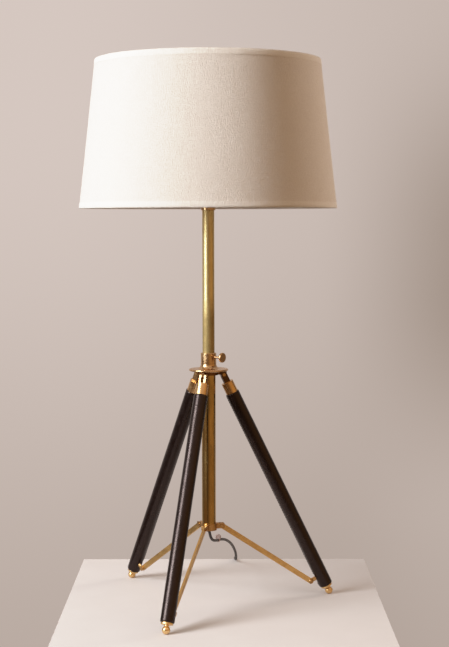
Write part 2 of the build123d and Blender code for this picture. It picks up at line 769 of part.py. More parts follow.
rod_z = washer_z + spider_washer_thickness / 2
rod_start = harp_boss_r + 2 * side_gap
rod_end = top_ring_r - shade_ring_r - side_gap
with BuildPart() as shade_spider:
    for azimuth in spider_azimuths:
        with BuildLine(side_plane(azimuth)) as rod_path:
            FilletPolyline(
                (rod_start, rod_z),
                (rod_end - spider_rise, rod_z),
                (rod_end, top_ring_z),
                radius=spider_rise / 2,
            )
        with BuildSketch(radial_plane(azimuth, rod_start, rod_z)):
            Circle(spider_rod_r)
        sweep(path=rod_path.line)
    with BuildSketch(Plane.XY.offset(washer_z)):
        Circle(spider_washer_r)
    extrude(amount=spider_washer_thickness)
    with BuildSketch(Plane.XY.offset(washer_z - spider_washer_thickness)):
        Circle(harp_stud_r + sliding_fit)
    extrude(amount=3 * spider_washer_thickness, mode=Mode.SUBTRACT)
save(shade_spider, "shade_spider")

# ---------------------------------------------------------------- cord
cord_points = [
    (0.3, 0.7, 113.5),
    (1.9, 5.0, 103.4),
    (5.0, 13.5, 95.5),
    (10.4, 30.0, 90.5),
    (18.2, 58.6, 86.8),
    (26.0, 101.0, 77.0),
    (35.0, 150.0, 60.5),
    (41.6, 196.0, 40.0),
    (45.2, 233.0, 20.5),
    (45.2, 262.0, 2.35),
    (42.6, 300.0, 2.4),
    (41.0, 337.0, 3.3),
]
tail_points = [
    (11.5, 369.5, 12.25),
    (-2.0, 369.3, 10.4),
    (-16.0, 368.2, 7.1),
    (-29.0, 366.4, 7.1),
]


def corner_radii(points: list) -> list:
    """The arc at each corner of a route: a share of the shorter run over tan(half turn)."""
    radii = []
    for before, corner, after in zip(points, points[1:], points[2:]):
        first = Vector(*corner) - Vector(*before)
        second = Vector(*after) - Vector(*corner)
        half_turn = radians(first.get_angle(second)) / 2
        radii.append(arc_share * min(first.length, second.length) / tan(half_turn))
    return radii


def lay_tube(points: list, name: str) -> None:
    """Make a cord's tube along straight runs joined by tangent arcs, and write it."""
    start = Vector(*points[0])
    heading = Vector(*points[1]) - start
    radii = corner_radii(points)
    with BuildPart() as tube:
        with BuildLine() as route:
            FilletPolyline(*points, radius=radii)
        with BuildSketch(Plane(origin=start, z_dir=heading)):
            Circle(cord_r)
        sweep(path=route.line)
    length = sum(edge.length for edge in route.edges())
    print(name, "radii", [round(radius, 1) for radius in radii], "length", round(length, 1))
    print(name, "volume", round(tube.part.volume, 1), "section x length", round(pi * cord_r**2 * length, 1))
    save(tube, name)


exit_point = Vector(*cord_points[0])
exit_heading = (Vector(*cord_points[1]) - exit_point).normalized()
with BuildPart() as cord_bush:
    with BuildSketch(Plane.XY.offset(tube_bottom_z)):
        Circle(tube_foot_bore_r - fixed_fit)
    extrude(amount=bush_height)
    with BuildSketch(Plane(origin=exit_point, z_dir=exit_heading * -1)):
        Circle(bush_nose_r)
    extrude(amount=bush_height)
save(cord_bush, "cord_bush")

lay_tube(cord_points, "cord_run")
lay_tube(tail_points, "cord_tail")

coil_inner = coil_turn_radii[0] - cord_r
coil_outer = coil_turn_radii[-1] + cord_r
coil_height = 2 * cord_r * coil_layers
with BuildPart() as cord_coil:
    with BuildSketch(Plane.XY.offset(coil_lift)):
        with Locations(coil_centre):
            Circle(coil_outer)
            Circle(coil_inner, mode=Mode.SUBTRACT)
    extrude(amount=coil_height)
save(cord_coil, "cord_coil")

tie_turn = radians(tie_azimuth)
tie_out = Vector(cos(tie_turn), sin(tie_turn), 0)
tie_middle = Vector(*coil_centre, coil_lift + coil_height / 2) + tie_out * ((coil_inner + coil_outer) / 2)
with BuildPart() as cord_tie:
    with BuildSketch(Plane(origin=tie_middle, x_dir=tie_out, z_dir=(-tie_out.Y, tie_out.X, 0))):
        inside_width = coil_outer - coil_inner + 2 * tie_slack
        inside_height = coil_height + 2 * seat_gap
        Rectangle(inside_width + 2 * tie_thickness, inside_height + 2 * tie_thickness)
        Rectangle(inside_width, inside_height, mode=Mode.SUBTRACT)
    extrude(amount=tie_width / 2, both=True)
save(cord_tie, "cord_tie")

clip_point = (Vector(*cord_points[3]) + Vector(*cord_points[4])) / 2
clip_heading = (Vector(*cord_points[4]) - Vector(*cord_points[3])).normalized()
with BuildPart() as cord_clip:
    with BuildSketch(Plane(origin=clip_point, z_dir=clip_heading)):
        Circle(cord_r + 2 * clip_rod_r)
        Circle(cord_r + side_gap / 2, mode=Mode.SUBTRACT)
    extrude(amount=clip_rod_r, both=True)
    with BuildSketch(Plane(origin=clip_point + Vector(0, 0, cord_r + clip_r), z_dir=clip_heading)):
        Circle(clip_r)
        Circle(clip_r - 2 * clip_rod_r, mode=Mode.SUBTRACT)
    extrude(amount=clip_rod_r, both=True)
save(cord_clip, "cord_clip")

plug_point = Vector(*tail_points[-1])
plug_heading = (plug_point - Vector(*tail_points[-2])).normalized()
plug_plane = Plane(origin=plug_point, x_dir=(0, 0, 1), z_dir=plug_heading)
with BuildPart() as plug:
    with BuildSketch(plug_plane):
        Circle(plug_nose_end_r)
    with BuildSketch(plug_plane.offset(plug_nose_length)):
        Circle(plug_nose_r)
    loft()
    with BuildSketch(plug_plane.offset(plug_nose_length)):
        RectangleRounded(plug_height, plug_width, plug_round)
    extrude(amount=plug_length)
    with BuildSketch(plug_plane.offset(plug_nose_length + plug_length - blade_seat)):
        with Locations((0, -blade_pitch / 2), (0, blade_pitch / 2)):
            Rectangle(blade_width + 2 * fixed_fit, blade_thickness + 2 * fixed_fit)
    extrude(amount=blade_seat, mode=Mode.SUBTRACT)
save(plug, "plug")

with BuildPart() as plug_blades:
    with BuildSketch(plug_plane.offset(plug_nose_length + plug_length - blade_seat + rest_gap)):
        with Locations((0, -blade_pitch / 2), (0, blade_pitch / 2)):
            Rectangle(blade_width, blade_thickness)
    extrude(amount=blade_seat + blade_length)
save(plug_blades, "plug_blades")
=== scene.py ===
"""Looks of a table lamp on a folding leather-covered tripod.

The linen shade, the leather on the legs, the glass bulb, the flex, its plug and its ties are
made here as meshes. The turned and milled metal parts keep their own shape and get their
finishes here. Metres, +Z up.
"""

import logging
import math
from dataclasses import dataclass, field
from enum import Enum
from functools import cache

import bpy
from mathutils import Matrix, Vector, noise


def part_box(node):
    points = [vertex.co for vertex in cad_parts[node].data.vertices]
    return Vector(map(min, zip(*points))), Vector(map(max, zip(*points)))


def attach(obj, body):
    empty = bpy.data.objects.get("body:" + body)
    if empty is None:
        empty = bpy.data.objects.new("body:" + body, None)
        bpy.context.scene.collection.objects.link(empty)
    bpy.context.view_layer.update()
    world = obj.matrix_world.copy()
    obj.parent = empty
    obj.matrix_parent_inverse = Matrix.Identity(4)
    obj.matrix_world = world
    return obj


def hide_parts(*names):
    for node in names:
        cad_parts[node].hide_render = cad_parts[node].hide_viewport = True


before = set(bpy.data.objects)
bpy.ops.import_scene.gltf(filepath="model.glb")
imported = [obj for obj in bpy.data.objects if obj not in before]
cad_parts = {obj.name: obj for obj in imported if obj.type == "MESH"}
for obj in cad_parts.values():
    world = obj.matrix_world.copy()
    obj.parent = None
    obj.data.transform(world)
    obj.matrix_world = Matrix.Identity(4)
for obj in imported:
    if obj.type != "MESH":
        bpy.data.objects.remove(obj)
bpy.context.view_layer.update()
LOG = logging.getLogger("lamp")
Colour = tuple[float, float, float]
MM = 0.001
LEG_TILT = 26.1
HINGE_RADIUS = 24.0 * MM


class Slot(Enum):
    """Material slots of the record; each new piece is given one, though nothing here reads it."""

    LINEN = "shade_linen"
    LEATHER = "leather"
    GLASS = "bulb_glass"
    BRAID = "cord_braid"
    RUBBER = "black_rubber"
    CLEAR = "clear_plastic"
    BLACK = "black_plastic"
    PLATED = "plated_brass"


class Body(Enum):
    """Moving bodies that new pieces ride on."""

    BASE = "base"
    STEM = "stem"
    SHADE = "shade"


def hinge_height() -> float:
    """How high the legs' hinge pins stand."""
    low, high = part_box("leg_pins")
    return (low[2] + high[2]) / 2


# ---------------------------------------------------------------- shader helpers
class Bench:
    """A node tree, with short ways to add nodes and to join them."""

    def __init__(self, tree: bpy.types.NodeTree) -> None:
        """Keep the tree that nodes are added to."""
        self.tree = tree

    def add(self, kind: str, **settings: object) -> bpy.types.Node:
        """Add a node.

        Args:
            kind: the node's type, without the word ShaderNode.
            settings: properties of the node.

        Returns:
            The new node.
        """
        node = self.tree.nodes.new("ShaderNode" + kind)
        for name, value in settings.items():
            setattr(node, name, value)
        return node

    def feed(self, socket: bpy.types.NodeSocket, value: object) -> None:
        """Join a socket to a value, which is another socket or a constant."""
        if isinstance(value, bpy.types.NodeSocket):
            self.tree.links.new(value, socket)
        elif value is not None:
            socket.default_value = value

    def math(self, operation: str, first: object, second: object = None) -> bpy.types.NodeSocket:
        """Add a Math node and return its result."""
        node = self.add("Math", operation=operation)
        self.feed(node.inputs[0], first)
        self.feed(node.inputs[1], second)
        return node.outputs[0]

    def mix(self, factor: object, first: object, second: object) -> bpy.types.NodeSocket:
        """Add a colour Mix node and return its result."""
        node = self.add("Mix", data_type="RGBA")
        self.feed(node.inputs["Factor"], factor)
        self.feed(node.inputs[6], opaque(first))
        self.feed(node.inputs[7], opaque(second))
        return node.outputs[2]

    def band(self, value: object, low: float, high: float, start: float = 0.0,
             end: float = 1.0) -> bpy.types.NodeSocket:
        """Map a value from low..high onto start..end, with smooth ends, and return it."""
        node = self.add("MapRange", interpolation_type="SMOOTHSTEP")
        for socket, number in zip(node.inputs, (value, low, high, start, end)):
            self.feed(socket, number)
        return node.outputs[0]

    def stretch(self, vector: object, scale: tuple[float, float, float]) -> bpy.types.NodeSocket:
        """Scale a vector along each axis and return it."""
        node = self.add("Mapping")
        self.feed(node.inputs["Vector"], vector)
        self.feed(node.inputs["Scale"], scale)
        return node.outputs[0]

    def noise(self, vector: object, scale: object, detail: float = 3.0,
              rough: float = 0.5) -> bpy.types.NodeSocket:
        """Add a Noise Texture and return its value."""
        node = self.add("TexNoise")
        self.feed(node.inputs["Vector"], vector)
        self.feed(node.inputs["Scale"], scale)
        self.feed(node.inputs["Detail"], detail)
        self.feed(node.inputs["Roughness"], rough)
        return node.outputs[0]

    def cells(self, vector: object, scale: object, feature: str = "F1") -> bpy.types.NodeSocket:
        """Add a Voronoi Texture and return its distance."""
        node = self.add("TexVoronoi", feature=feature)
        self.feed(node.inputs["Vector"], vector)
        self.feed(node.inputs["Scale"], scale)
        return node.outputs["Distance"]

    def use(self, group: bpy.types.NodeTree, **values: object) -> bpy.types.Node:
        """Place a node group, with its inputs given by name, an underscore standing for a space."""
        node = self.add("Group", node_tree=group)
        for name, value in values.items():
            self.feed(node.inputs[name.replace("_", " ")], value)
        return node

    def bump(self, height: object, distance: float, strength: float = 1.0,
             normal: object = None) -> bpy.types.NodeSocket:
        """Add a Bump node and return its normal."""
        node = self.add("Bump")
        self.feed(node.inputs["Height"], height)
        self.feed(node.inputs["Distance"], distance)
        self.feed(node.inputs["Strength"], strength)
        self.feed(node.inputs["Normal"], normal)
        return node.outputs[0]


def opaque(colour: object) -> object:
    """A colour with its alpha, or the socket as it is."""
    return (*colour, 1.0) if isinstance(colour, tuple) else colour


def new_group(
        name: str, inputs: dict[str, tuple[str, object]], outputs: tuple[str, ...],
) -> tuple[Bench, bpy.types.Node, bpy.types.Node]:
    """Start a shader node group.

    Args:
        name: the group's name.
        inputs: each input's socket kind, Vector or Float, and its default.
        outputs: the names of its values.

    Returns:
        The bench, the input node and the output node.
    """
    tree = bpy.data.node_groups.new(name, "ShaderNodeTree")
    for label, (kind, default) in inputs.items():
        socket = tree.interface.new_socket(label, in_out="INPUT", socket_type="NodeSocket" + kind)
        if kind == "Float":
            socket.default_value = default
    for label in outputs:
        tree.interface.new_socket(label, in_out="OUTPUT", socket_type="NodeSocketFloat")
    bench = Bench(tree)
    return bench, tree.nodes.new("NodeGroupInput"), tree.nodes.new("NodeGroupOutput")


@cache
def tarnish_group() -> bpy.types.NodeTree:
    """Clouds of tarnish and the small dark spots in them."""
    inputs = {"Vector": ("Vector", None), "Cloud Scale": ("Float", 30.0),
              "Spot Scale": ("Float", 400.0),
              "Spotting": ("Float", 0.3)}
    bench, given, result = new_group("Tarnish", inputs, ("Clouds", "Spots"))
    place = given.outputs["Vector"]
    clouds = bench.band(bench.noise(place, given.outputs["Cloud Scale"], 5.0, 0.62), 0.36, 0.66)
    specks = bench.noise(place, given.outputs["Spot Scale"], 2.0, 0.7)
    edge = bench.math("MULTIPLY_ADD", given.outputs["Spotting"], -0.22)
    edge.node.inputs[2].default_value = 0.72
    over = bench.math("MULTIPLY", bench.math("SUBTRACT", specks, edge), 14.0)
    patchy = bench.math("MULTIPLY", over, bench.band(clouds, 0.1, 0.8, 0.35, 1.0))
    bench.feed(result.inputs["Clouds"], clouds)
    bench.feed(result.inputs["Spots"], bench.band(patchy, 0.0, 1.0))
    return bench.tree


@cache
def brushing_group() -> bpy.types.NodeTree:
    """Fine lines left by polishing along one direction."""
    inputs = {"Vector": ("Vector", None), "Scale": ("Float", 900.0)}
    bench, given, result = new_group("Brushing", inputs, ("Height",))
    lines = bench.noise(given.outputs["Vector"], given.outputs["Scale"], 4.0, 0.75)
    coarse = bench.noise(given.outputs["Vector"],
                         bench.math("MULTIPLY", given.outputs["Scale"], 0.21), 2.0)
    bench.feed(result.inputs["Height"], bench.math("ADD", lines, coarse))
    return bench.tree


@cache
def grain_group() -> bpy.types.NodeTree:
    """Leather's pebbled grain, its pores and its soft creases."""
    inputs = {"Vector": ("Vector", None), "Scale": ("Float", 900.0)}
    bench, given, result = new_group("Grain", inputs, ("Height", "Creases"))
    place, scale = given.outputs["Vector"], given.outputs["Scale"]
    pebbles = bench.band(bench.cells(place, scale, "DISTANCE_TO_EDGE"), 0.0, 0.35)
    pores = bench.band(bench.noise(place, bench.math("MULTIPLY", scale, 2.3), 2.0), 0.3, 0.5)
    creases = bench.band(bench.noise(place, bench.math("MULTIPLY", scale, 0.08), 4.0, 0.6), 0.3,
                         0.75)
    height = bench.math("ADD", bench.math("MULTIPLY", pebbles, 0.7),
                        bench.math("MULTIPLY", pores, 0.3))
    bench.feed(result.inputs["Height"], height)
    bench.feed(result.inputs["Creases"], creases)
    return bench.tree


@cache
def weave_group() -> bpy.types.NodeTree:
    """Plain weave: threads over and under each other, with thick places in both directions."""
    inputs = {"Vector": ("Vector", None), "Pitch": ("Float", 0.0006)}
    bench, given, result = new_group("Weave", inputs, ("Height", "Slubs"))
    part = bench.add("SeparateXYZ")
    bench.feed(part.inputs[0], given.outputs["Vector"])
    threads = []
    for axis in (0, 1):
        count = bench.math("DIVIDE", part.outputs[axis], given.outputs["Pitch"])
        wave = bench.math("ABSOLUTE", bench.math("SINE", bench.math("MULTIPLY", count, math.pi)))
        threads.append((count, wave))
    (across, warp), (up, weft) = threads
    cell = bench.math("ADD", bench.math("FLOOR", across), bench.math("FLOOR", up))
    over = bench.math("PINGPONG", cell, 1.0)
    under = bench.math("SUBTRACT", 1.0, over)
    plain = bench.math("ADD", bench.math("MULTIPLY", warp, over),
                       bench.math("MULTIPLY", weft, under))
    lying = bench.noise(bench.stretch(given.outputs["Vector"], (70.0, 900.0, 1.0)), 1.0, 3.0, 0.65)
    standing = bench.noise(bench.stretch(given.outputs["Vector"], (900.0, 70.0, 1.0)), 1.0, 3.0,
                           0.65)
    slubs = bench.band(bench.math("MAXIMUM", lying, standing), 0.5, 0.8)
    bench.feed(result.inputs["Height"], bench.math("ADD", plain, slubs))
    bench.feed(result.inputs["Slubs"], slubs)
    return bench.tree


def new_material(name: str) -> tuple[Bench, bpy.types.Node]:
    """Start a material.

    Returns:
        Its bench, and its Principled BSDF joined to the output.
    """
    material = bpy.data.materials.new(name)
    material.use_nodes = True
    bench = Bench(material.node_tree)
    return bench, material.node_tree.nodes["Principled BSDF"]


def own_place(bench: Bench) -> bpy.types.NodeSocket:
    """The surface's place in its piece's own coordinates, in metres."""
    return bench.add("TexCoord").outputs["Object"]


# ---------------------------------------------------------------- finishes
@dataclass(frozen=True)
class BrassFinish:
    """Brass, from polished to well tarnished, with painted shade where asked: on a leg's fork and
    towards a tube's lower end.
    """

    name: str
    light: Colour
    dark: Colour
    spot: Colour = (0.10, 0.055, 0.02)
    roughness: float = 0.25
    clouding: float = 0.5
    cloud_scale: float = 45.0
    spotting: float = 0.3
    spot_scale: float = 520.0
    stretch: tuple[float, float, float] = (1.0, 1.0, 1.0)
    brush_scale: float = 900.0
    brush_depth: float = 0.00002
    coat: float = 0.0
    coat_roughness: float = 0.08
    # Painted shade on a leg's fork: how strongly it is darkened, where it ends, and its near-black
    # colour.
    fork: float = 0.0
    fork_end: float = 12.8 * MM
    fork_shade_colour: Colour = (0.06, 0.028, 0.016)
    # Painted shade at a tube's lower end: the height where it starts, the height where it is full,
    # and its light and dark tones.
    painted_shade_from: float = 0.0
    painted_shade_to: float = 0.0
    painted_shade_light: Colour = (0.50, 0.36, 0.155)
    painted_shade_dark: Colour = (0.34, 0.25, 0.11)

    def painted_shade_mask(self, bench: Bench, place: bpy.types.NodeSocket) -> bpy.types.NodeSocket:
        """Painted shade on a tube: a band that darkens it towards its lower end, strongest at the
        bottom, where the light's reflection fades.
        """
        part = bench.add("SeparateXYZ")
        bench.feed(part.inputs[0], place)
        ragged = bench.math("MULTIPLY", bench.noise(place, 90.0, 4.0, 0.6), 0.02)
        height = bench.math("SUBTRACT", bench.math("ADD", part.outputs[2], 0.01), ragged)
        return bench.band(height, self.painted_shade_to, self.painted_shade_from, 1.0, 0.0)

    def fork_shade_mask(self, bench: Bench, place: bpy.types.NodeSocket) -> bpy.types.NodeSocket:
        """Painted shade over a leg's fork, from its hinge pin down to where the ferrule starts."""
        part = bench.add("SeparateXYZ")
        bench.feed(part.inputs[0], place)
        flat = bench.add("VectorMath", operation="LENGTH")
        bench.feed(flat.inputs[0], bench.stretch(place, (1.0, 1.0, 0.0)))
        lean = math.radians(LEG_TILT)
        out = bench.math("MULTIPLY", bench.math("SUBTRACT", flat.outputs["Value"], HINGE_RADIUS),
                         math.sin(lean))
        fall = bench.math("MULTIPLY", bench.math("SUBTRACT", part.outputs[2], hinge_height()),
                          math.cos(lean))
        along = bench.math("SUBTRACT", out, fall)
        return bench.band(along, self.fork_end, self.fork_end + 1.2 * MM, self.fork, 0.0)

    def material(self) -> bpy.types.Material:
        """The finish as a material."""
        bench, shader = new_material(self.name)
        place = own_place(bench)
        drawn = bench.stretch(place, self.stretch)
        tarnish = bench.use(tarnish_group(), Vector=drawn, Cloud_Scale=self.cloud_scale,
                            Spot_Scale=self.spot_scale, Spotting=self.spotting)
        clouds, spots = tarnish.outputs["Clouds"], tarnish.outputs["Spots"]
        body = bench.mix(bench.math("MULTIPLY", clouds, self.clouding), self.light, self.dark)
        body = bench.mix(spots, body, self.spot)
        # painted shade: the fork darkened near black where the leg stands in shadow
        if self.fork:
            body = bench.mix(self.fork_shade_mask(bench, place), body, self.fork_shade_colour)
        bench.feed(shader.inputs["Metallic"], bench.band(spots, 0.0, 1.0, 1.0, 0.75))
        dull = bench.math("ADD", bench.math("MULTIPLY", clouds, 0.14),
                          bench.math("MULTIPLY", spots, 0.3))
        # painted shade: the tube darker towards its lower end, and rougher there too
        if self.painted_shade_from:
            zone = self.painted_shade_mask(bench, place)
            body = bench.mix(zone, body, bench.mix(clouds, self.painted_shade_light, self.painted_shade_dark))
            dull = bench.math("ADD", dull, bench.math("MULTIPLY", zone, 0.2))
        bench.feed(shader.inputs["Base Color"], body)
        bench.feed(shader.inputs["Roughness"], bench.math("ADD", dull, self.roughness))
        lines = bench.use(brushing_group(), Vector=drawn, Scale=self.brush_scale)
        relief = bench.math("SUBTRACT", lines.outputs["Height"], bench.math("MULTIPLY", spots, 0.8))
        bench.feed(shader.inputs["Normal"], bench.bump(relief, self.brush_depth, 0.35))
        shader.inputs["Coat Weight"].default_value = self.coat
        shader.inputs["Coat Roughness"].default_value = self.coat_roughness
        return bpy.data.materials[self.name]


@dataclass(frozen=True)
class LeatherFinish:
    """Waxed leather, near black, with its grain and rubbed places."""

    name: str = "waxed leather"
    base: Colour = (0.0040, 0.0016, 0.0014)
    rubbed: Colour = (0.030, 0.0135, 0.0105)
    roughness: float = 0.26
    grain_scale: float = 1100.0
    grain_depth: float = 0.00006

    def material(self) -> bpy.types.Material:
        """The finish as a material."""
        bench, shader = new_material(self.name)
        place = own_place(bench)
        grain = bench.use(grain_group(), Vector=place, Scale=self.grain_scale)
        creases, pebbles = grain.outputs["Creases"], grain.outputs["Height"]
        scuffs = bench.band(bench.noise(bench.stretch(place, (1.0, 1.0, 0.35)), 160.0, 5.0, 0.7),
                            0.5, 0.78)
        zone = bench.math("MULTIPLY", scuffs, bench.band(creases, 0.0, 1.0, 0.25, 0.8))
        bench.feed(shader.inputs["Base Color"], bench.mix(zone, self.base, self.rubbed))
        matt = bench.math("ADD", bench.math("MULTIPLY", creases, 0.12), self.roughness)
        bench.feed(shader.inputs["Roughness"], matt)
        relief = bench.math("ADD", pebbles, bench.math("MULTIPLY", creases, 2.5))
        bench.feed(shader.inputs["Normal"], bench.bump(relief, self.grain_depth, 0.55))
        shader.inputs["Specular IOR Level"].default_value = 0.44
        shader.inputs["Specular Tint"].default_value = (1.0, 0.74, 0.67, 1.0)
        return bpy.data.materials[self.name]


@dataclass(frozen=True)
class LinenFinish:
    """Natural linen, its threads laid out by the cloth's own flat coordinates."""

    name: str = "natural linen"
    pale: Colour = (0.82, 0.745, 0.672)
    shaded: Colour = (0.69, 0.605, 0.53)
    pitch: float = 0.00075
    depth: float = 0.00022
    sheen: float = 0.12

    def material(self) -> bpy.types.Material:
        """The finish as a material."""
        bench, shader = new_material(self.name)
        flat = bench.add("TexCoord").outputs["UV"]
        weave = bench.use(weave_group(), Vector=flat, Pitch=self.pitch)
        height, slubs = weave.outputs["Height"], weave.outputs["Slubs"]
        threads = bench.band(height, 0.1, 1.3)
        cloudy = bench.band(bench.noise(flat, 60.0, 4.0, 0.6), 0.3, 0.7)
        puckers = bench.noise(bench.stretch(flat, (520.0, 210.0, 1.0)), 1.0, 4.0, 0.7)
        flecks = bench.math("MULTIPLY", bench.band(puckers, 0.3, 0.7), 0.35)
        tint = bench.math("ADD", bench.math("MULTIPLY", threads, 0.55),
                          bench.math("MULTIPLY", cloudy, 0.1))
        tint = bench.math("ADD", tint, flecks)
        bench.feed(shader.inputs["Base Color"], bench.mix(tint, self.shaded, self.pale))
        bench.feed(shader.inputs["Roughness"], bench.band(slubs, 0.0, 1.0, 0.88, 0.78))
        relief = bench.math("ADD", height, bench.math("MULTIPLY", puckers, 7.0))
        bench.feed(shader.inputs["Normal"], bench.bump(relief, self.depth, 1.0))
        shader.inputs["Sheen Weight"].default_value = self.sheen
        shader.inputs["Sheen Roughness"].default_value = 0.6
        shader.inputs["Specular IOR Level"].default_value = 0.2
        return bpy.data.materials[self.name]


@dataclass(frozen=True)
class BraidFinish:
    """Braided cotton over the flex: two sets of threads that cross at a slant."""

    name: str = "dark braid"
    dark: Colour = (0.008, 0.0045, 0.0035)
    light: Colour = (0.045, 0.027, 0.020)
    pitch: float = 0.0011
    depth: float = 0.00018

    def material(self) -> bpy.types.Material:
        """The finish as a material."""
        bench, shader = new_material(self.name)
        part = bench.add("SeparateXYZ")
        bench.feed(part.inputs[0], bench.add("TexCoord").outputs["UV"])
        strands = []
        for lean in (1.0, -1.0):
            slant = bench.math("ADD", part.outputs[1],
                               bench.math("MULTIPLY", part.outputs[0], lean))
            turn = bench.math("MULTIPLY", slant, math.pi / self.pitch)
            strands.append(bench.math("ABSOLUTE", bench.math("SINE", turn)))
        weave = bench.math("MULTIPLY", strands[0], strands[1])
        fluff = bench.noise(own_place(bench), 2600.0, 3.0, 0.7)
        tone = bench.math("MULTIPLY", weave, bench.band(fluff, 0.2, 0.8, 0.5, 1.0))
        bench.feed(shader.inputs["Base Color"], bench.mix(tone, self.dark, self.light))
        bench.feed(shader.inputs["Roughness"], bench.band(fluff, 0.2, 0.8, 0.42, 0.62))
        bench.feed(shader.inputs["Normal"], bench.bump(weave, self.depth, 0.8))
        shader.inputs["Sheen Weight"].default_value = 0.05
        return bpy.data.materials[self.name]


@dataclass(frozen=True)
class MouldedFinish:
    """Plastic, rubber, card, painted wire or wood: an even colour, faintly mottled."""

    name: str
    light: Colour
    dark: Colour
    roughness: float = 0.4
    mottle_scale: float = 240.0
    stretch: tuple[float, float, float] = (1.0, 1.0, 1.0)
    relief: float = 0.00003
    metallic: float = 0.0
    transmission: float = 0.0
    ior: float = 1.46
    coat: float = 0.0

    def material(self) -> bpy.types.Material:
        """The finish as a material."""
        bench, shader = new_material(self.name)
        drawn = bench.stretch(own_place(bench), self.stretch)
        mottle = bench.noise(drawn, self.mottle_scale, 5.0, 0.6)
        fine = bench.noise(drawn, self.mottle_scale * 9.0, 3.0, 0.6)
        tone = bench.band(mottle, 0.32, 0.68)
        bench.feed(shader.inputs["Base Color"], bench.mix(tone, self.dark, self.light))
        bench.feed(shader.inputs["Roughness"], bench.band(mottle, 0.3, 0.7, self.roughness,
                                                          self.roughness + 0.1))
        both = bench.math("ADD", fine, bench.math("MULTIPLY", mottle, 2.0))
        bench.feed(shader.inputs["Normal"], bench.bump(both, self.relief, 0.4))
        shader.inputs["Metallic"].default_value = self.metallic
        shader.inputs["Transmission Weight"].default_value = self.transmission
        shader.inputs["IOR"].default_value = self.ior
        shader.inputs["Coat Weight"].default_value = self.coat
        return bpy.data.materials[self.name]


POLISHED = BrassFinish("polished brass", (0.62, 0.40, 0.21), (0.48, 0.285, 0.14), roughness=0.23,
                       clouding=0.4, spotting=0.0, brush_depth=0.000002)
FERRULE = BrassFinish("ferrule brass", (0.74, 0.48, 0.235), (0.56, 0.33, 0.145), roughness=0.22,
                      clouding=0.4, spotting=0.0, brush_depth=0.000003)
# Painted shade: a darker copy of the ferrule brass for the leg on the shaded side, with its fork
# painted near black as shadow.
SHADED = BrassFinish("ferrule brass, dark fork", (0.68, 0.435, 0.20), (0.52, 0.30, 0.13),
                     roughness=0.21, clouding=0.4, spotting=0.0, brush_depth=0.000003, fork=0.92)
FEET = BrassFinish("foot brass", (0.84, 0.57, 0.27), (0.64, 0.38, 0.15), roughness=0.24,
                   clouding=0.45,
                   spotting=0.0)
# Aged brass, painted darker towards the stem's lower end as shade where the light's reflection
# fades.
STEM = BrassFinish("aged stem brass", (0.70, 0.545, 0.27), (0.54, 0.40, 0.175), (0.24, 0.16, 0.06),
                   roughness=0.38, painted_shade_from=0.50, painted_shade_to=0.45, clouding=0.8, cloud_scale=38.0,
                   spotting=0.3, spot_scale=620.0,
                   stretch=(1.0, 1.0, 0.35), brush_scale=700.0, brush_depth=0.00004, coat=0.06)
LOWER = BrassFinish("aged tube brass", (0.62, 0.415, 0.16), (0.36, 0.235, 0.085),
                    (0.10, 0.062, 0.03),
                    roughness=0.13, clouding=0.9, cloud_scale=34.0, spotting=0.35, spot_scale=520.0,
                    stretch=(1.0, 1.0, 0.3), brush_scale=600.0, brush_depth=0.00005, coat=0.04)
STAY = BrassFinish("stay brass", (0.66, 0.42, 0.165), (0.47, 0.265, 0.09), roughness=0.34,
                   clouding=0.6,
                   cloud_scale=60.0, spotting=0.2, brush_depth=0.00004)
DARK_BRASS = BrassFinish("dark brass", (0.56, 0.34, 0.145), (0.36, 0.19, 0.075), roughness=0.32,
                         clouding=0.7, cloud_scale=70.0, spotting=0.1, brush_depth=0.00002)
# Dark brass for the hub's leg bracket and the clamp tip, made darker still as painted shade beneath
# the hub's flange.
BRACKET = BrassFinish("bracket brass", (0.30, 0.15, 0.065), (0.15, 0.07, 0.03), roughness=0.33,
                      clouding=0.7, cloud_scale=70.0, spotting=0.2, brush_depth=0.00003)
PLATED = BrassFinish("plated brass", (0.84, 0.63, 0.33), (0.68, 0.47, 0.21), roughness=0.22,
                     clouding=0.4,
                     spotting=0.05)
RING_WIRE = MouldedFinish("enamelled wire", (0.80, 0.76, 0.69), (0.72, 0.68, 0.61), 0.3, 500.0)
LEG_WOOD = MouldedFinish("leg wood", (0.30, 0.17, 0.08), (0.16, 0.085, 0.04), 0.6, 300.0,
                         (1.0, 1.0, 0.12), 0.00008)
LINER = MouldedFinish("shade backing", (0.86, 0.83, 0.78), (0.80, 0.77, 0.72), 0.32, 40.0)
FROSTED = MouldedFinish("frosted glass", (0.95, 0.94, 0.92), (0.90, 0.89, 0.87), 0.38, 90.0,
                        transmission=0.35, ior=1.5, coat=0.2)
BULB_METAL = MouldedFinish("bulb cap metal", (0.75, 0.74, 0.72), (0.55, 0.54, 0.52), 0.3, 400.0,
                           metallic=1.0)
BLACK_PLASTIC = MouldedFinish("black plastic", (0.022, 0.020, 0.019), (0.012, 0.011, 0.011), 0.38,
                              300.0)
RUBBER = MouldedFinish("black rubber", (0.020, 0.018, 0.017), (0.010, 0.009, 0.009), 0.6, 500.0)
LEAD = MouldedFinish("braided lead", (0.060, 0.043, 0.036), (0.012, 0.008, 0.007), 0.5, 1400.0,
                     relief=0.0001)
CARD = MouldedFinish("insulating card", (0.42, 0.30, 0.18), (0.30, 0.20, 0.12), 0.75, 700.0)
CLEAR = MouldedFinish("cloudy plastic", (0.36, 0.26, 0.23), (0.28, 0.20, 0.175), 0.45, 500.0)
STRAP = MouldedFinish("woven tie", (0.035, 0.030, 0.028), (0.014, 0.012, 0.011), 0.75, 900.0,
                      relief=0.00012)


# ---------------------------------------------------------------- mesh helpers
Ring = list[Vector]


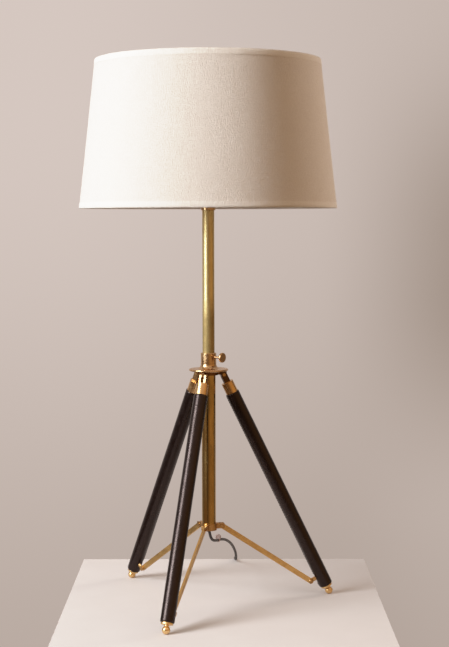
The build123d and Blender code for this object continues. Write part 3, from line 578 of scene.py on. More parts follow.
@dataclass
class MeshMaker:
    """Collects the corners and faces of one piece."""

    points: list[Vector] = field(default_factory=list)
    faces: list[tuple[int, ...]] = field(default_factory=list)
    layout: list[tuple[tuple[float, float], ...]] = field(default_factory=list)

    def grid(self, rings: list[Ring], joined: bool = False, ends: bool = False,
             widths: list[float] | None = None, heights: list[float] | None = None) -> None:
        """Join rings of equal counts with quads.

        Args:
            rings: the rings, in order; each closes on itself.
            joined: whether the last ring joins the first, as in a rolled edge.
            ends: whether the first and last rings are filled.
            widths: the flat coordinate of each place round a ring, one more than its points.
            heights: the flat coordinate of each ring.
        """
        start, count = len(self.points), len(rings[0])
        for ring in rings:
            self.points.extend(ring)
        widths = widths or [place / count for place in range(count + 1)]
        heights = heights or [float(row) for row in range(len(rings) + 1)]
        rows = len(rings) if joined else len(rings) - 1
        for row in range(rows):
            low, high = start + row * count, start + (row + 1) % len(rings) * count
            for place in range(count):
                after = (place + 1) % count
                self.faces.append((low + place, low + after, high + after, high + place))
                left, right = widths[place], widths[place + 1]
                below, above = heights[row], heights[row + 1]
                self.layout.append(((left, below), (right, below), (right, above), (left, above)))
        if ends:
            last = start + (len(rings) - 1) * count
            self.faces.append(tuple(range(start + count - 1, start - 1, -1)))
            self.faces.append(tuple(range(last, last + count)))
            for _ in range(2):
                self.layout.append(tuple((widths[place], 0.0) for place in range(count)))

    def piece(self, name: str, finish: bpy.types.Material, body: str, slot: Slot,
              replaces: tuple[str, ...] = (), corner: float = 50.0) -> bpy.types.Object:
        """Make the mesh into a piece of the lamp.

        Args:
            name: the piece's name.
            finish: its material.
            body: the body that it rides on.
            slot: the record's slot for its finish; not used.
            replaces: the plain nodes that it stands for.
            corner: the angle in degrees past which an edge looks sharp.

        Returns:
            The piece.
        """
        mesh = bpy.data.meshes.new(name)
        mesh.from_pydata([tuple(point) for point in self.points], [], self.faces)
        flat = mesh.uv_layers.new(name="Flat")
        flat.data.foreach_set("uv",
                              [number for face in self.layout for corner_ in face
                               for number in corner_])
        mesh.polygons.foreach_set("use_smooth", [True] * len(mesh.polygons))
        mesh.set_sharp_from_angle(angle=math.radians(corner))
        mesh.materials.append(finish)
        mesh.validate()
        piece = bpy.data.objects.new(name, mesh)
        bpy.context.scene.collection.objects.link(piece)
        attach(piece, body)
        if replaces:
            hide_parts(*replaces)
        LOG.info("%s: %d faces, rides on %s", name, len(mesh.polygons), body)
        return piece


def circle(centre: Vector, across: Vector, up: Vector, radius: float, count: int) -> Ring:
    """Points round a circle, from across towards up."""
    turns = [2 * math.pi * place / count for place in range(count)]
    return [centre + radius * (math.cos(turn) * across + math.sin(turn) * up) for turn in turns]


def turned(profile: list[tuple[float, float]], base: Vector, axis: Vector,
           count: int) -> list[Ring]:
    """Rings of a turned shape.

    Args:
        profile: radius and distance along the axis of each ring.
        base: where the axis starts.
        axis: the axis' direction.
        count: how many points each ring has.

    Returns:
        One ring for each point of the profile.
    """
    across = axis.orthogonal().normalized()
    up = axis.normalized().cross(across)
    return [circle(base + axis.normalized() * along, across, up, radius, count) for radius,
            along in profile]


def follow(path: list[Vector], count: int, radius: float) -> list[Ring]:
    """Rings of a tube along a path, without twist.

    Args:
        path: the points that it follows.
        count: how many points each ring has.
        radius: its radius.

    Returns:
        One ring for each point of the path.
    """
    rings = []
    across = (path[1] - path[0]).orthogonal().normalized()
    for place, point in enumerate(path):
        before, after = path[max(place - 1, 0)], path[min(place + 1, len(path) - 1)]
        ahead = (after - before).normalized()
        across = (across - ahead * across.dot(ahead)).normalized()
        rings.append(circle(point, across, ahead.cross(across), radius, count))
    return rings


def bezier(start: Vector, first: Vector, second: Vector, end: Vector, steps: int) -> list[Vector]:
    """Points along a cubic curve, both ends included."""
    points = []
    for step in range(steps + 1):
        t = step / steps
        u = 1 - t
        points.append(start * u**3 + first * 3 * u * u * t + second * 3 * u * t * t + end * t**3)
    return points


def rounded_slab(half_width: float, half_height: float, power: float,
                 count: int) -> list[tuple[float, float]]:
    """Points round a rounded rectangle: an ellipse of a higher power."""
    points = []
    for place in range(count):
        turn = 2 * math.pi * place / count
        wide, high = math.cos(turn), math.sin(turn)
        size = (abs(wide) ** power + abs(high) ** power) ** (-1 / power)
        points.append((half_width * wide * size, half_height * high * size))
    return points


# ---------------------------------------------------------------- shade
@dataclass
class DrumShade:
    """The linen drum: cloth on stiff backing, turned hems over both rings, and the seam behind."""

    top_radius: float = 177.25 * MM
    cloth: float = 0.5 * MM
    backing: float = 0.55 * MM
    hem_height: float = 9.0 * MM
    hem_proud: float = 0.3 * MM
    hem_inside: float = 8.0 * MM
    ring_inset: float = 3.0 * MM
    ring_reach: float = 4.9 * MM
    sides: int = 288
    rows: int = 48
    seam_turn: float = 90.0
    seam_width: float = 13.0 * MM
    seam_proud: float = 0.35 * MM

    def __post_init__(self) -> None:
        """Take the drum's place from the frame."""
        low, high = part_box("shade_drum")
        self.low_z, self.high_z = low[2], high[2]
        self.bottom_radius = (high[0] - low[0]) / 2

    def radius(self, height: float) -> float:
        """The cloth's outer radius at a height."""
        share = (height - self.low_z) / (self.high_z - self.low_z)
        return self.bottom_radius + (self.top_radius - self.bottom_radius) * share

    def ripple(self, turn: float, height: float) -> float:
        """How far the cloth stands off its even cone, as linen does between its hems."""
        place = Vector((math.cos(turn) * 2.2, math.sin(turn) * 2.2, height * 9))
        edge = min(height - self.low_z, self.high_z - height) / (self.high_z - self.low_z)
        return -0.28 * MM * min(1.0, 8 * edge) * (0.5 + 0.5 * noise.noise(place))

    def round_ring(self, height: float, inset: float, rippled: bool) -> Ring:
        """One ring of the drum, a distance inside the outer face."""
        ring = []
        for side in range(self.sides):
            turn = 2 * math.pi * side / self.sides
            off = self.ripple(turn, height) if rippled else 0.0
            radius = self.radius(height) - inset + off
            ring.append(Vector((radius * math.cos(turn), radius * math.sin(turn), height)))
        return ring

    def make_cloth(self, finish: bpy.types.Material) -> bpy.types.Object:
        """The cloth itself, as one thin skin."""
        fall = self.high_z - self.low_z
        heights = [self.low_z + fall * row / self.rows for row in range(self.rows + 1)]
        maker = MeshMaker()
        rings = [self.round_ring(height, self.hem_proud, True) for height in heights]
        widths = [2 * math.pi * self.bottom_radius * side / self.sides
                  for side in range(self.sides + 1)]
        maker.grid(rings, widths=widths, heights=heights)
        drum = maker.piece("shade_cloth", finish, Body.SHADE.value, Slot.LINEN, ("shade_drum",))
        skin = drum.modifiers.new("thickness", "SOLIDIFY")
        skin.thickness = self.cloth
        skin.offset = -1.0
        return drum

    def make_backing(self, finish: bpy.types.Material) -> bpy.types.Object:
        """The stiff backing inside the cloth."""
        outside = self.hem_proud + self.cloth + 0.3 * MM
        edge = 0.4 * MM
        low, high = self.low_z + edge, self.high_z - edge
        rings = [self.round_ring(low, outside, False), self.round_ring(high, outside, False),
                 self.round_ring(high, outside + self.backing, False),
                 self.round_ring(low, outside + self.backing, False)]
        maker = MeshMaker()
        maker.grid(rings, joined=True)
        return maker.piece("shade_backing", finish, Body.SHADE.value, Slot.LINEN)

    def hem_line(self, top: bool) -> list[tuple[float, float]]:
        """The hem's middle line: inset and depth from the edge, outside face first."""
        half = self.cloth / 2
        reach, ring = self.ring_reach, self.ring_inset
        line = [(half, self.hem_height), (half, self.hem_height * 0.5), (half, 0.9 * MM),
                (half + 0.25 * MM, 0.28 * MM), (1.1 * MM, 0.1 * MM), (reach * 0.66, 0.3 * MM),
                (reach * 0.93, ring * 0.45), (reach, ring), (reach * 0.9, ring * 1.6),
                (reach * 0.6, ring * 1.95), (2.3 * MM, self.hem_inside)]
        sign = -1 if top else 1
        return [(inset, sign * depth) for inset, depth in line]

    def make_hem(self, top: bool, finish: bpy.types.Material) -> bpy.types.Object:
        """One turned hem: a folded strip that wraps the edge and its ring.

        Args:
            top: whether it is the upper one.
            finish: its material.

        Returns:
            The hem.
        """
        edge = self.high_z if top else self.low_z
        line = self.hem_line(top)
        sections = []
        for side in range(self.sides):
            turn = 2 * math.pi * side / self.sides
            around = Vector((math.cos(turn) * 9, math.sin(turn) * 9, 3.0 if top else 7.0))
            waver = 0.35 * MM * noise.noise(around)
            section = []
            for place, (inset, depth) in enumerate(line):
                before, after = line[max(place - 1, 0)], line[min(place + 1, len(line) - 1)]
                run = Vector((after[0] - before[0], after[1] - before[1])).normalized()
                section.append((inset, depth + (waver if place == 0 else 0.0), run))
            sections.append((turn, section))
        half = self.cloth / 2
        maker = MeshMaker()
        order = [(place, 1) for place in range(len(line))]
        order += [(place, -1) for place in reversed(range(len(line)))]
        rings, heights = [], []
        for place, face in order:
            ring = []
            for turn, section in sections:
                inset, depth, run = section[place]
                level = edge + depth + face * half * run.x
                radius = self.radius(edge + depth) - inset - face * half * run.y * (1 if top else 1)
                ring.append(Vector((radius * math.cos(turn), radius * math.sin(turn), level)))
            rings.append(ring)
            heights.append(edge + place * 0.002)
        heights.append(edge)
        widths = [2 * math.pi * self.bottom_radius * side / self.sides
                  for side in range(self.sides + 1)]
        maker.grid(rings, joined=True, widths=widths, heights=heights)
        name = "shade_hem_top" if top else "shade_hem_bottom"
        return maker.piece(name, finish, Body.SHADE.value, Slot.LINEN)

    def make_seam(self, finish: bpy.types.Material) -> bpy.types.Object:
        """The overlap at the back, glued down, with its folded edge standing a little proud."""
        middle = math.radians(self.seam_turn)
        half = self.seam_width / 2
        places = [-half, -half + 0.4 * MM, -half + 1.5 * MM, 0.0, half - 1.5 * MM, half - 0.4 * MM,
                  half]
        lifts = [0.0, 0.75, 1.0, 0.9, 1.0, 0.85, 0.0]
        low, high = self.low_z + 4 * MM, self.high_z - 4 * MM
        rings, heights = [], []
        for row in range(self.rows + 1):
            height = low + (high - low) * row / self.rows
            base = self.radius(height) - self.hem_proud
            outer, inner = [], []
            waver = 0.3 * MM * noise.noise(Vector((0.0, 5.0, height * 40)))
            for place, lift in zip(places, lifts):
                turn = middle + (place + waver) / base
                off = self.ripple(turn, height)
                out = base + off + lift * self.seam_proud
                outer.append(Vector((out * math.cos(turn), out * math.sin(turn), height)))
                back = base + off - 0.1 * MM
                inner.append(Vector((back * math.cos(turn), back * math.sin(turn), height)))
            rings.append(outer + inner[::-1])
            heights.append(height)
        widths = [place + half for place in places] + [half - place for place in places] + [0.0]
        maker = MeshMaker()
        maker.grid(rings, ends=True, widths=sorted(widths), heights=heights)
        return maker.piece("shade_seam", finish, Body.SHADE.value, Slot.LINEN)

    def build(self) -> None:
        """Make the drum's pieces."""
        linen = LinenFinish().material()
        hem_linen = LinenFinish("hem linen", (0.85, 0.785, 0.715), (0.75, 0.675, 0.60)).material()
        drum = self.make_cloth(linen)
        hems = [self.make_hem(True, hem_linen), self.make_hem(False, hem_linen)]
        seam = self.make_seam(linen)
        backing = self.make_backing(LINER.material())


# ---------------------------------------------------------------- legs
@dataclass
class LeatherLeg:
    """The leather on one leg: a sewn tube with its ridge of seam and the stitches over it."""

    number: int
    azimuth: float
    seam_turn: float
    tilt: float = LEG_TILT
    hinge_radius: float = HINGE_RADIUS
    start: float = 32.35 * MM
    end: float = 389.2 * MM
    radius: float = 11.0 * MM
    bore: float = 9.1 * MM
    end_round: float = 2.2 * MM
    top_round: float = 0.8 * MM
    ridge_height: float = 0.85 * MM
    ridge_width: float = 1.35 * MM
    stitch_pitch: float = 4.6 * MM
    stitch_reach: float = 2.3 * MM
    stitch_slant: float = 1.1 * MM
    thread: float = 0.45 * MM
    stud_place: float = 372.0 * MM
    stud_room: float = 5.5 * MM

    def __post_init__(self) -> None:
        """Work out the leg's own directions."""
        turn, lean = math.radians(self.azimuth), math.radians(self.tilt)
        outward = Vector((math.cos(turn), math.sin(turn), 0.0))
        self.pin = outward * self.hinge_radius + Vector((0, 0, hinge_height()))
        self.down = outward * math.sin(lean) - Vector((0, 0, math.cos(lean)))
        self.inward = -(outward * math.cos(lean) + Vector((0, 0, math.sin(lean))))
        self.side = Vector((math.sin(turn), -math.cos(turn), 0.0))
        self.body = f"leg_{self.number}"

    def skin_radius(self, along: float, off_seam: float) -> float:
        """The leather's radius, by distance along the leg and round it from the seam."""
        top, foot = along - self.start, self.end - along
        radius = self.radius
        if foot < self.end_round:
            radius -= self.end_round - math.sqrt(max(0.0,
                                                     self.end_round**2
                                                     - (self.end_round - foot) ** 2))
        if top < self.top_round:
            radius -= self.top_round - math.sqrt(max(0.0,
                                                     self.top_round**2
                                                     - (self.top_round - top) ** 2))
        lumps = noise.noise(Vector((off_seam * 40, along * 14, self.number * 3.7)))
        wrinkles = noise.noise(Vector((off_seam * 160, along * 60, self.number * 5.1)))
        radius += 0.10 * MM * lumps + 0.045 * MM * wrinkles
        pulled = abs(math.sin(math.pi * (along - self.start) / self.stitch_pitch))
        ridge = math.exp(-((off_seam / self.ridge_width) ** 2)) * (0.15 + 0.85 * pulled)
        aside = (abs(off_seam) - self.stitch_reach) / (0.7 * MM)
        dimple = math.exp(-(aside**2)) * (1 - pulled) ** 2
        clear = min(1.0, max(0.0, abs(along - self.stud_place) - self.stud_room) / (3 * MM))
        fade = clear * min(1.0, min(top, foot) / (3 * MM))
        return radius + fade * (self.ridge_height * ridge - 0.22 * MM * dimple)

    def spot(self, along: float, off_seam: float, lift: float = 0.0) -> Vector:
        """A point on the leather, or a distance above it."""
        turn = math.radians(self.seam_turn) + off_seam / self.radius
        radius = self.skin_radius(along, off_seam) + lift
        spoke = self.inward * math.cos(turn) + self.side * math.sin(turn)
        return self.pin + self.down * along + spoke * radius

    def make_skin(self, finish: bpy.types.Material) -> bpy.types.Object:
        """The leather tube, closed over its bore at both ends."""
        half_round = math.pi * self.radius
        fine = [place * 0.42 * MM for place in range(-9, 10)]
        spare = half_round - fine[-1]
        coarse = [fine[-1] + spare * step / 22 for step in range(1, 22)]
        offs = [-place for place in reversed(coarse)] + fine + coarse + [half_round]
        rows = round((self.end - self.start) / (0.92 * MM))
        alongs = [self.start + (self.end - self.start) * row / rows for row in range(rows + 1)]
        round_steps = [self.end - self.end_round * (1 - math.sin(math.pi / 2 * step / 6))
                       for step in range(1, 6)]
        alongs = sorted(set(alongs + round_steps))
        rings = [[self.spot(along, off) for off in offs] for along in alongs]
        inner = []
        for along in (self.end, self.start):
            spokes = [math.radians(self.seam_turn) + off / self.radius for off in offs]
            inner.append([self.pin + self.down * along
                          + (self.inward * math.cos(turn) + self.side * math.sin(turn)) * self.bore
                          for turn in spokes])
        maker = MeshMaker()
        maker.grid(rings + inner, joined=True,
                   widths=[off + half_round for off in offs] + [2 * half_round],
                   heights=[*alongs, self.end, self.start, self.start])
        return maker.piece(f"leg_{self.number}_leather", finish, self.body, Slot.LEATHER,
                           (f"leg_{self.number}_sleeve",))

    def make_stitches(self, finish: bpy.types.Material) -> bpy.types.Object:
        """Every stitch over the seam, from hole to hole."""
        maker = MeshMaker()
        count = int((self.end - self.start) / self.stitch_pitch)
        reach = self.stitch_reach
        for stitch in range(1, count):
            along = self.start + stitch * self.stitch_pitch
            if abs(along - self.stud_place) < self.stud_room:
                continue
            path = []
            for step in range(-4, 5):
                share = step / 4
                lift = self.thread * (0.75 if abs(share) < 0.9 else -1.2)
                path.append(self.spot(along + share * self.stitch_slant / 2, share * reach, lift))
            maker.grid(follow(path, 7, self.thread), ends=True)
        return maker.piece(f"leg_{self.number}_stitching", finish, self.body, Slot.LEATHER)

    def build(self, leather: bpy.types.Material, thread: bpy.types.Material) -> None:
        """Make the leather and its stitches."""
        self.make_skin(leather)
        self.make_stitches(thread)


# ---------------------------------------------------------------- lampholder and bulb
@dataclass
class BulbAndHolder:
    """The frosted bulb, and the card tube that stands above the holder's shell."""

    globe_radius: float = 30.0 * MM
    neck_radius: float = 13.5 * MM
    tangent: float = 35.0
    card_radius: float = 15.45 * MM
    card_wall: float = 0.35 * MM
    card_proud: float = 1.2 * MM
    card_depth: float = 14.0 * MM

    def make_globe(self, finish: bpy.types.Material) -> bpy.types.Object:
        """The glass, as one smooth turned envelope."""
        low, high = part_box("bulb_globe")
        length, lean = high[2] - low[2], math.radians(self.tangent)
        middle = length - self.globe_radius
        meet = Vector((self.globe_radius * math.cos(lean),
                       middle - self.globe_radius * math.sin(lean), 0))
        rise = Vector((math.sin(lean), math.cos(lean), 0))
        start = Vector((self.neck_radius, 5 * MM, 0))
        neck = bezier(start, start + Vector((0, 13 * MM, 0)), meet - rise * 12 * MM, meet, 14)
        profile = [(self.neck_radius - 1.5 * MM, 0.0), (self.neck_radius - 0.4 * MM, 0.6 * MM)]
        profile += [(point.x, point.y) for point in neck]
        for step in range(1, 24):
            rising = -lean + (math.pi / 2 + lean) * step / 24
            profile.append((self.globe_radius * math.cos(rising),
                            middle + self.globe_radius * math.sin(rising)))
        profile.append((0.2 * MM, length))
        maker = MeshMaker()
        maker.grid(turned(profile, Vector((0, 0, low[2])), Vector((0, 0, 1)), 64), ends=True)
        return maker.piece("bulb_glass", finish, Body.STEM.value, Slot.GLASS, ("bulb_globe",))

    def make_card(self, finish: bpy.types.Material) -> bpy.types.Object:
        """The card tube inside the holder's shell."""
        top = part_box("socket_shell")[1][2] + self.card_proud
        outer, inner = self.card_radius, self.card_radius - self.card_wall
        foot = top - self.card_depth
        profile = [(outer, foot), (outer, top), (inner, top), (inner, foot)]
        maker = MeshMaker()
        maker.grid(turned(profile, Vector((0, 0, 0)), Vector((0, 0, 1)), 64), joined=True)
        return maker.piece("socket_card", finish, Body.STEM.value, Slot.BLACK)

    def build(self) -> None:
        """Make the bulb and the card tube."""
        self.make_globe(FROSTED.material())
        self.make_card(CARD.material())


# ---------------------------------------------------------------- flex
@dataclass
class MainsLead:
    """The braided flex from the foot of the tube to its plug, coiled and tied out of the way."""

    radius: float = 2.25 * MM
    length: float = 1.863
    sides: int = 12
    coil_middle: tuple[float, float] = (11.5 * MM, 340.0 * MM)
    turn_radii: tuple[float, ...] = (20.5 * MM, 25.0 * MM, 29.5 * MM)
    layers: tuple[float, ...] = (3.25 * MM, 7.75 * MM, 12.25 * MM)
    points_per_turn: int = 24
    change_share: float = 0.16
    tie_turn: float = 235.0
    tie_width: float = 8.0 * MM
    tie_wall: float = 0.8 * MM
    run: tuple[tuple[float, float, float], ...] = (
        (0.3, 0.7, 113.5), (1.9, 5.0, 103.4), (5.0, 13.5, 95.5), (10.4, 30.0, 90.5),
        (18.2, 58.6, 86.8),
        (26.0, 101.0, 77.0), (35.0, 150.0, 60.5), (41.6, 196.0, 40.0), (45.2, 233.0, 20.5),
        (45.2, 262.0, 2.35), (42.6, 300.0, 2.4), (41.0, 337.0, 3.3),
    )
    tail: tuple[tuple[float, float, float], ...] = (
        (11.5, 369.5, 12.25), (-2.0, 369.3, 10.4), (-16.0, 368.2, 7.1), (-29.0, 366.4, 7.1),
    )
    # turn radius and layer of each turn, each beside or above the one before
    turns: tuple[tuple[int, int], ...] = (
        (2, 0), (1, 0), (0, 0), (0, 1), (0, 2), (1, 2), (1, 1), (2, 1), (2, 2),
    )

    def coil_points(self) -> list[Vector]:
        """The turns of the coil, each changing to the next one's place over part of a turn."""
        points = []
        steps = self.points_per_turn
        total = len(self.turns) * steps + steps // 4
        for step in range(1, total):
            turn, share = divmod(step / steps, 1.0)
            number = min(int(turn), len(self.turns) - 1)
            ring, layer = self.turns[number]
            radius, level = self.turn_radii[ring], self.layers[layer]
            if number and share < self.change_share and turn < len(self.turns):
                before = self.turns[number - 1]
                ease = share / self.change_share
                ease = ease * ease * (3 - 2 * ease)
                radius += (self.turn_radii[before[0]] - radius) * (1 - ease)
                level += (self.layers[before[1]] - level) * (1 - ease)
            angle = 2 * math.pi * step / steps
            spot = (self.coil_middle[0] + radius * math.cos(angle),
                    self.coil_middle[1] + radius * math.sin(angle), level)
            points.append(Vector(spot))
        return points

    def route(self) -> list[Vector]:
        """Points along the flex's middle, read from one smooth spline through its whole route."""
        controls = [Vector(point) * MM for point in self.run] + self.coil_points()
        controls += [Vector(point) * MM for point in self.tail]
        curve = bpy.data.curves.new("flex_route", "CURVE")
        curve.dimensions = "3D"
        curve.resolution_u = 4
        spline = curve.splines.new("NURBS")
        spline.points.add(len(controls) - 1)
        for point, place in zip(spline.points, controls):
            point.co = (*place, 1.0)
        spline.order_u = 3
        spline.use_endpoint_u = True
        holder = bpy.data.objects.new("flex_route", curve)
        line = bpy.data.meshes.new_from_object(holder)
        path = [vertex.co.copy() for vertex in line.vertices]
        bpy.data.objects.remove(holder)
        bpy.data.curves.remove(curve)
        return path

    def make_flex(self, path: list[Vector], finish: bpy.types.Material) -> bpy.types.Object:
        """The braided tube along the route."""
        gone, heights = 0.0, [0.0]
        for before, after in zip(path, path[1:]):
            gone += (after - before).length
            heights.append(gone)
        LOG.info("the flex is %.3f m long", gone)
        around = 2 * math.pi * self.radius
        widths = [around * side / self.sides for side in range(self.sides + 1)]
        maker = MeshMaker()
        maker.grid(follow(path, self.sides, self.radius), ends=True, widths=widths, heights=heights)
        return maker.piece("mains_flex", finish, Body.BASE.value, Slot.BRAID,
                           ("cord_run", "cord_coil", "cord_tail"))

    def make_tie(self, finish: bpy.types.Material) -> bpy.types.Object:
        """The strap round the coil, with its free end lapped over it."""
        turn = math.radians(self.tie_turn)
        out = Vector((math.cos(turn), math.sin(turn), 0.0))
        side = Vector((-out.y, out.x, 0.0))
        middle = Vector((*self.coil_middle, (self.layers[0] + self.layers[-1]) / 2))
        middle += out * (self.turn_radii[0] + self.turn_radii[-1]) / 2
        half_wide = (self.turn_radii[-1] - self.turn_radii[0]) / 2 + self.radius + 0.55 * MM
        half_high = (self.layers[-1] - self.layers[0]) / 2 + self.radius + 0.4 * MM
        maker = MeshMaker()
        for grown, start, end in ((0.0, 0.0, 1.0), (self.tie_wall * 0.95, 0.02, 0.30)):
            rings = []
            for step in range(49):
                place = 2 * math.pi * (start + (end - start) * step / 48)
                wide, high = math.cos(place), math.sin(place)
                size = (abs(wide) ** 5 + abs(high) ** 5) ** -0.2
                edge = out * wide * size * half_wide + Vector((0, 0, high * size * half_high))
                away = edge.normalized()
                inner = middle + edge + away * grown
                outer = inner + away * self.tie_wall * 0.9
                half = side * self.tie_width / 2
                trim = side * 0.25 * MM
                rings.append([inner - half, outer - half + trim, outer + half - trim, inner + half])
            maker.grid(rings, joined=grown == 0.0, ends=grown > 0.0)
        return maker.piece("flex_tie", finish, Body.BASE.value, Slot.BLACK, ("cord_tie",))

    def make_clip(self, finish: bpy.types.Material) -> bpy.types.Object:
        """The cloudy plastic clip: a sleeve that grips the flex, and a loop on it."""
        fourth, fifth = Vector(self.run[3]) * MM, Vector(self.run[4]) * MM
        ahead = (fifth - fourth).normalized()
        grip = (fourth + fifth) / 2
        across = ahead.cross(Vector((0, 0, 1))).normalized()
        up = across.cross(ahead)
        maker = MeshMaker()
        sleeve = [(self.radius + 0.1 * MM, -1.9 * MM), (self.radius + 0.85 * MM, -1.5 * MM),
                  (self.radius + 1.2 * MM, 0.0), (self.radius + 0.85 * MM, 1.5 * MM),
                  (self.radius + 0.1 * MM, 1.9 * MM)]
        maker.grid([circle(grip + ahead * along, across, up, radius, 28) for radius,
                    along in sleeve])
        thick, loop_radius = 1.6 * MM, 3.3 * MM
        centre = grip + up * (self.radius + loop_radius * 0.75)
        rings = []
        for step in range(36):
            turn = 2 * math.pi * step / 36
            spoke = across * math.cos(turn) + up * math.sin(turn)
            rings.append(circle(centre + spoke * loop_radius, spoke, ahead, thick, 12))
        maker.grid(rings, joined=True)
        web = [(2.7 * MM, -1.2 * MM), (2.7 * MM, 1.2 * MM)]
        maker.grid([circle(centre + ahead * along, across, up, radius, 28) for radius,
                    along in web], ends=True)
        return maker.piece("flex_clip", finish, Body.BASE.value, Slot.CLEAR, ("cord_clip",))

    def make_plug(self, finish: bpy.types.Material) -> bpy.types.Object:
        """The moulded plug: a ribbed neck that flares into a rounded body with finger grips."""
        tip, last = Vector(self.tail[-1]) * MM, Vector(self.tail[-2]) * MM
        ahead = (tip - last).normalized()
        across = ahead.cross(Vector((0, 0, 1))).normalized()
        up = across.cross(ahead)
        neck, body = 14.0 * MM, 32.0 * MM
        stations = []
        for rib in range(6):
            start = rib * neck / 6
            size = (3.15 + 1.35 * rib / 6) * MM
            for share, swell in ((0.0, 0.0), (0.25, 0.45), (0.6, 0.45), (0.8, 0.0)):
                stations.append((start + share * neck / 6, size + swell * MM, size + swell * MM,
                                 2.0))
        for share, wide, high, power in ((0.0, 4.9, 4.7, 2.2), (0.05, 7.6, 5.5, 2.8),
                                         (0.13, 10.2, 6.3, 3.4),
                                         (0.24, 11.6, 6.9, 4.0), (0.45, 11.9, 7.0, 4.4),
                                         (0.62, 11.2, 6.7, 4.4),
                                         (0.78, 11.6, 6.9, 4.4), (0.92, 11.9, 6.95, 4.4),
                                         (0.98, 11.6, 6.7, 4.2),
                                         (1.0, 10.8, 6.1, 4.0)):
            stations.append((neck + share * body, wide * MM, high * MM, power))
        rings = []
        for along, wide, high, power in stations:
            section = rounded_slab(wide, high, power, 40)
            rings.append([tip + ahead * along + across * x + up * y for x, y in section])
        maker = MeshMaker()
        maker.grid(rings, ends=True)
        for side in (-1, 1):
            for groove in range(4):
                along = neck + body * (0.52 + 0.07 * groove)
                start = tip + ahead * along + up * side * 6.75 * MM
                ridge = [start + across * reach * MM for reach in (-6.5, -3.0, 0.0, 3.0, 6.5)]
                maker.grid(follow(ridge, 8, 0.5 * MM), ends=True)
        return maker.piece("plug_body", finish, Body.BASE.value, Slot.BLACK, ("plug",))

    def build(self) -> None:
        """Make the flex and what is on it; the flex's length is logged."""
        path = self.route()
        flex = self.make_flex(path, BraidFinish().material())
        tie = self.make_tie(STRAP.material())
        clip = self.make_clip(CLEAR.material())
        plug = self.make_plug(bpy.data.materials[BLACK_PLASTIC.name])


# ---------------------------------------------------------------- metal parts that keep their shape
@dataclass
class Hardware:
    """The turned, milled and drawn parts, grouped by finish."""

    groups: dict[object, tuple[str, ...]] = field(default_factory=lambda: {
        POLISHED: ("hub_collar", "hub_flange", "thumb_screw", "stem_cap"),
        FERRULE: ("leg_1_ferrule", "leg_3_ferrule"),
        # leg 2 stands on the shaded side and takes the painted-shade copy of the ferrule brass
        SHADED: ("leg_2_ferrule",),
        FEET: ("leg_1_foot", "leg_2_foot", "leg_3_foot"),
        STEM: ("upper_tube",),
        LOWER: ("lower_tube",),
        STAY: ("stay_1", "stay_2", "stay_3"),
        BRACKET: ("leg_bracket", "clamp_tip"),
        DARK_BRASS: ("tube_foot", "leg_pins", "spreader_collar", "spreader_pins",
                     "stay_screw_1", "stay_screw_2", "stay_screw_3", "stay_stud_1", "stay_stud_2",
                     "stay_stud_3"),
        PLATED: ("harp_saddle", "harp", "harp_sleeve_1", "harp_sleeve_2", "finial", "socket_cap",
                 "socket_shell", "screw_shell", "stem_nipple", "plug_blades"),
        RING_WIRE: ("shade_top_ring", "shade_bottom_ring", "shade_spider"),
        LEG_WOOD: ("leg_1_core", "leg_2_core", "leg_3_core"),
        BLACK_PLASTIC: ("socket_interior", "switch_key"),
        RUBBER: ("cord_bush",),
        LEAD: ("stem_lead",),
        BULB_METAL: ("bulb_cap",),
    })

    def dress(self) -> None:
        """Give each part its finish."""
        for finish, names in self.groups.items():
            material = finish.material()
            for name in names:
                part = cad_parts[name]
                part.data.materials.clear()
                part.data.materials.append(material)
                LOG.info("%s: %s", name, finish.name)


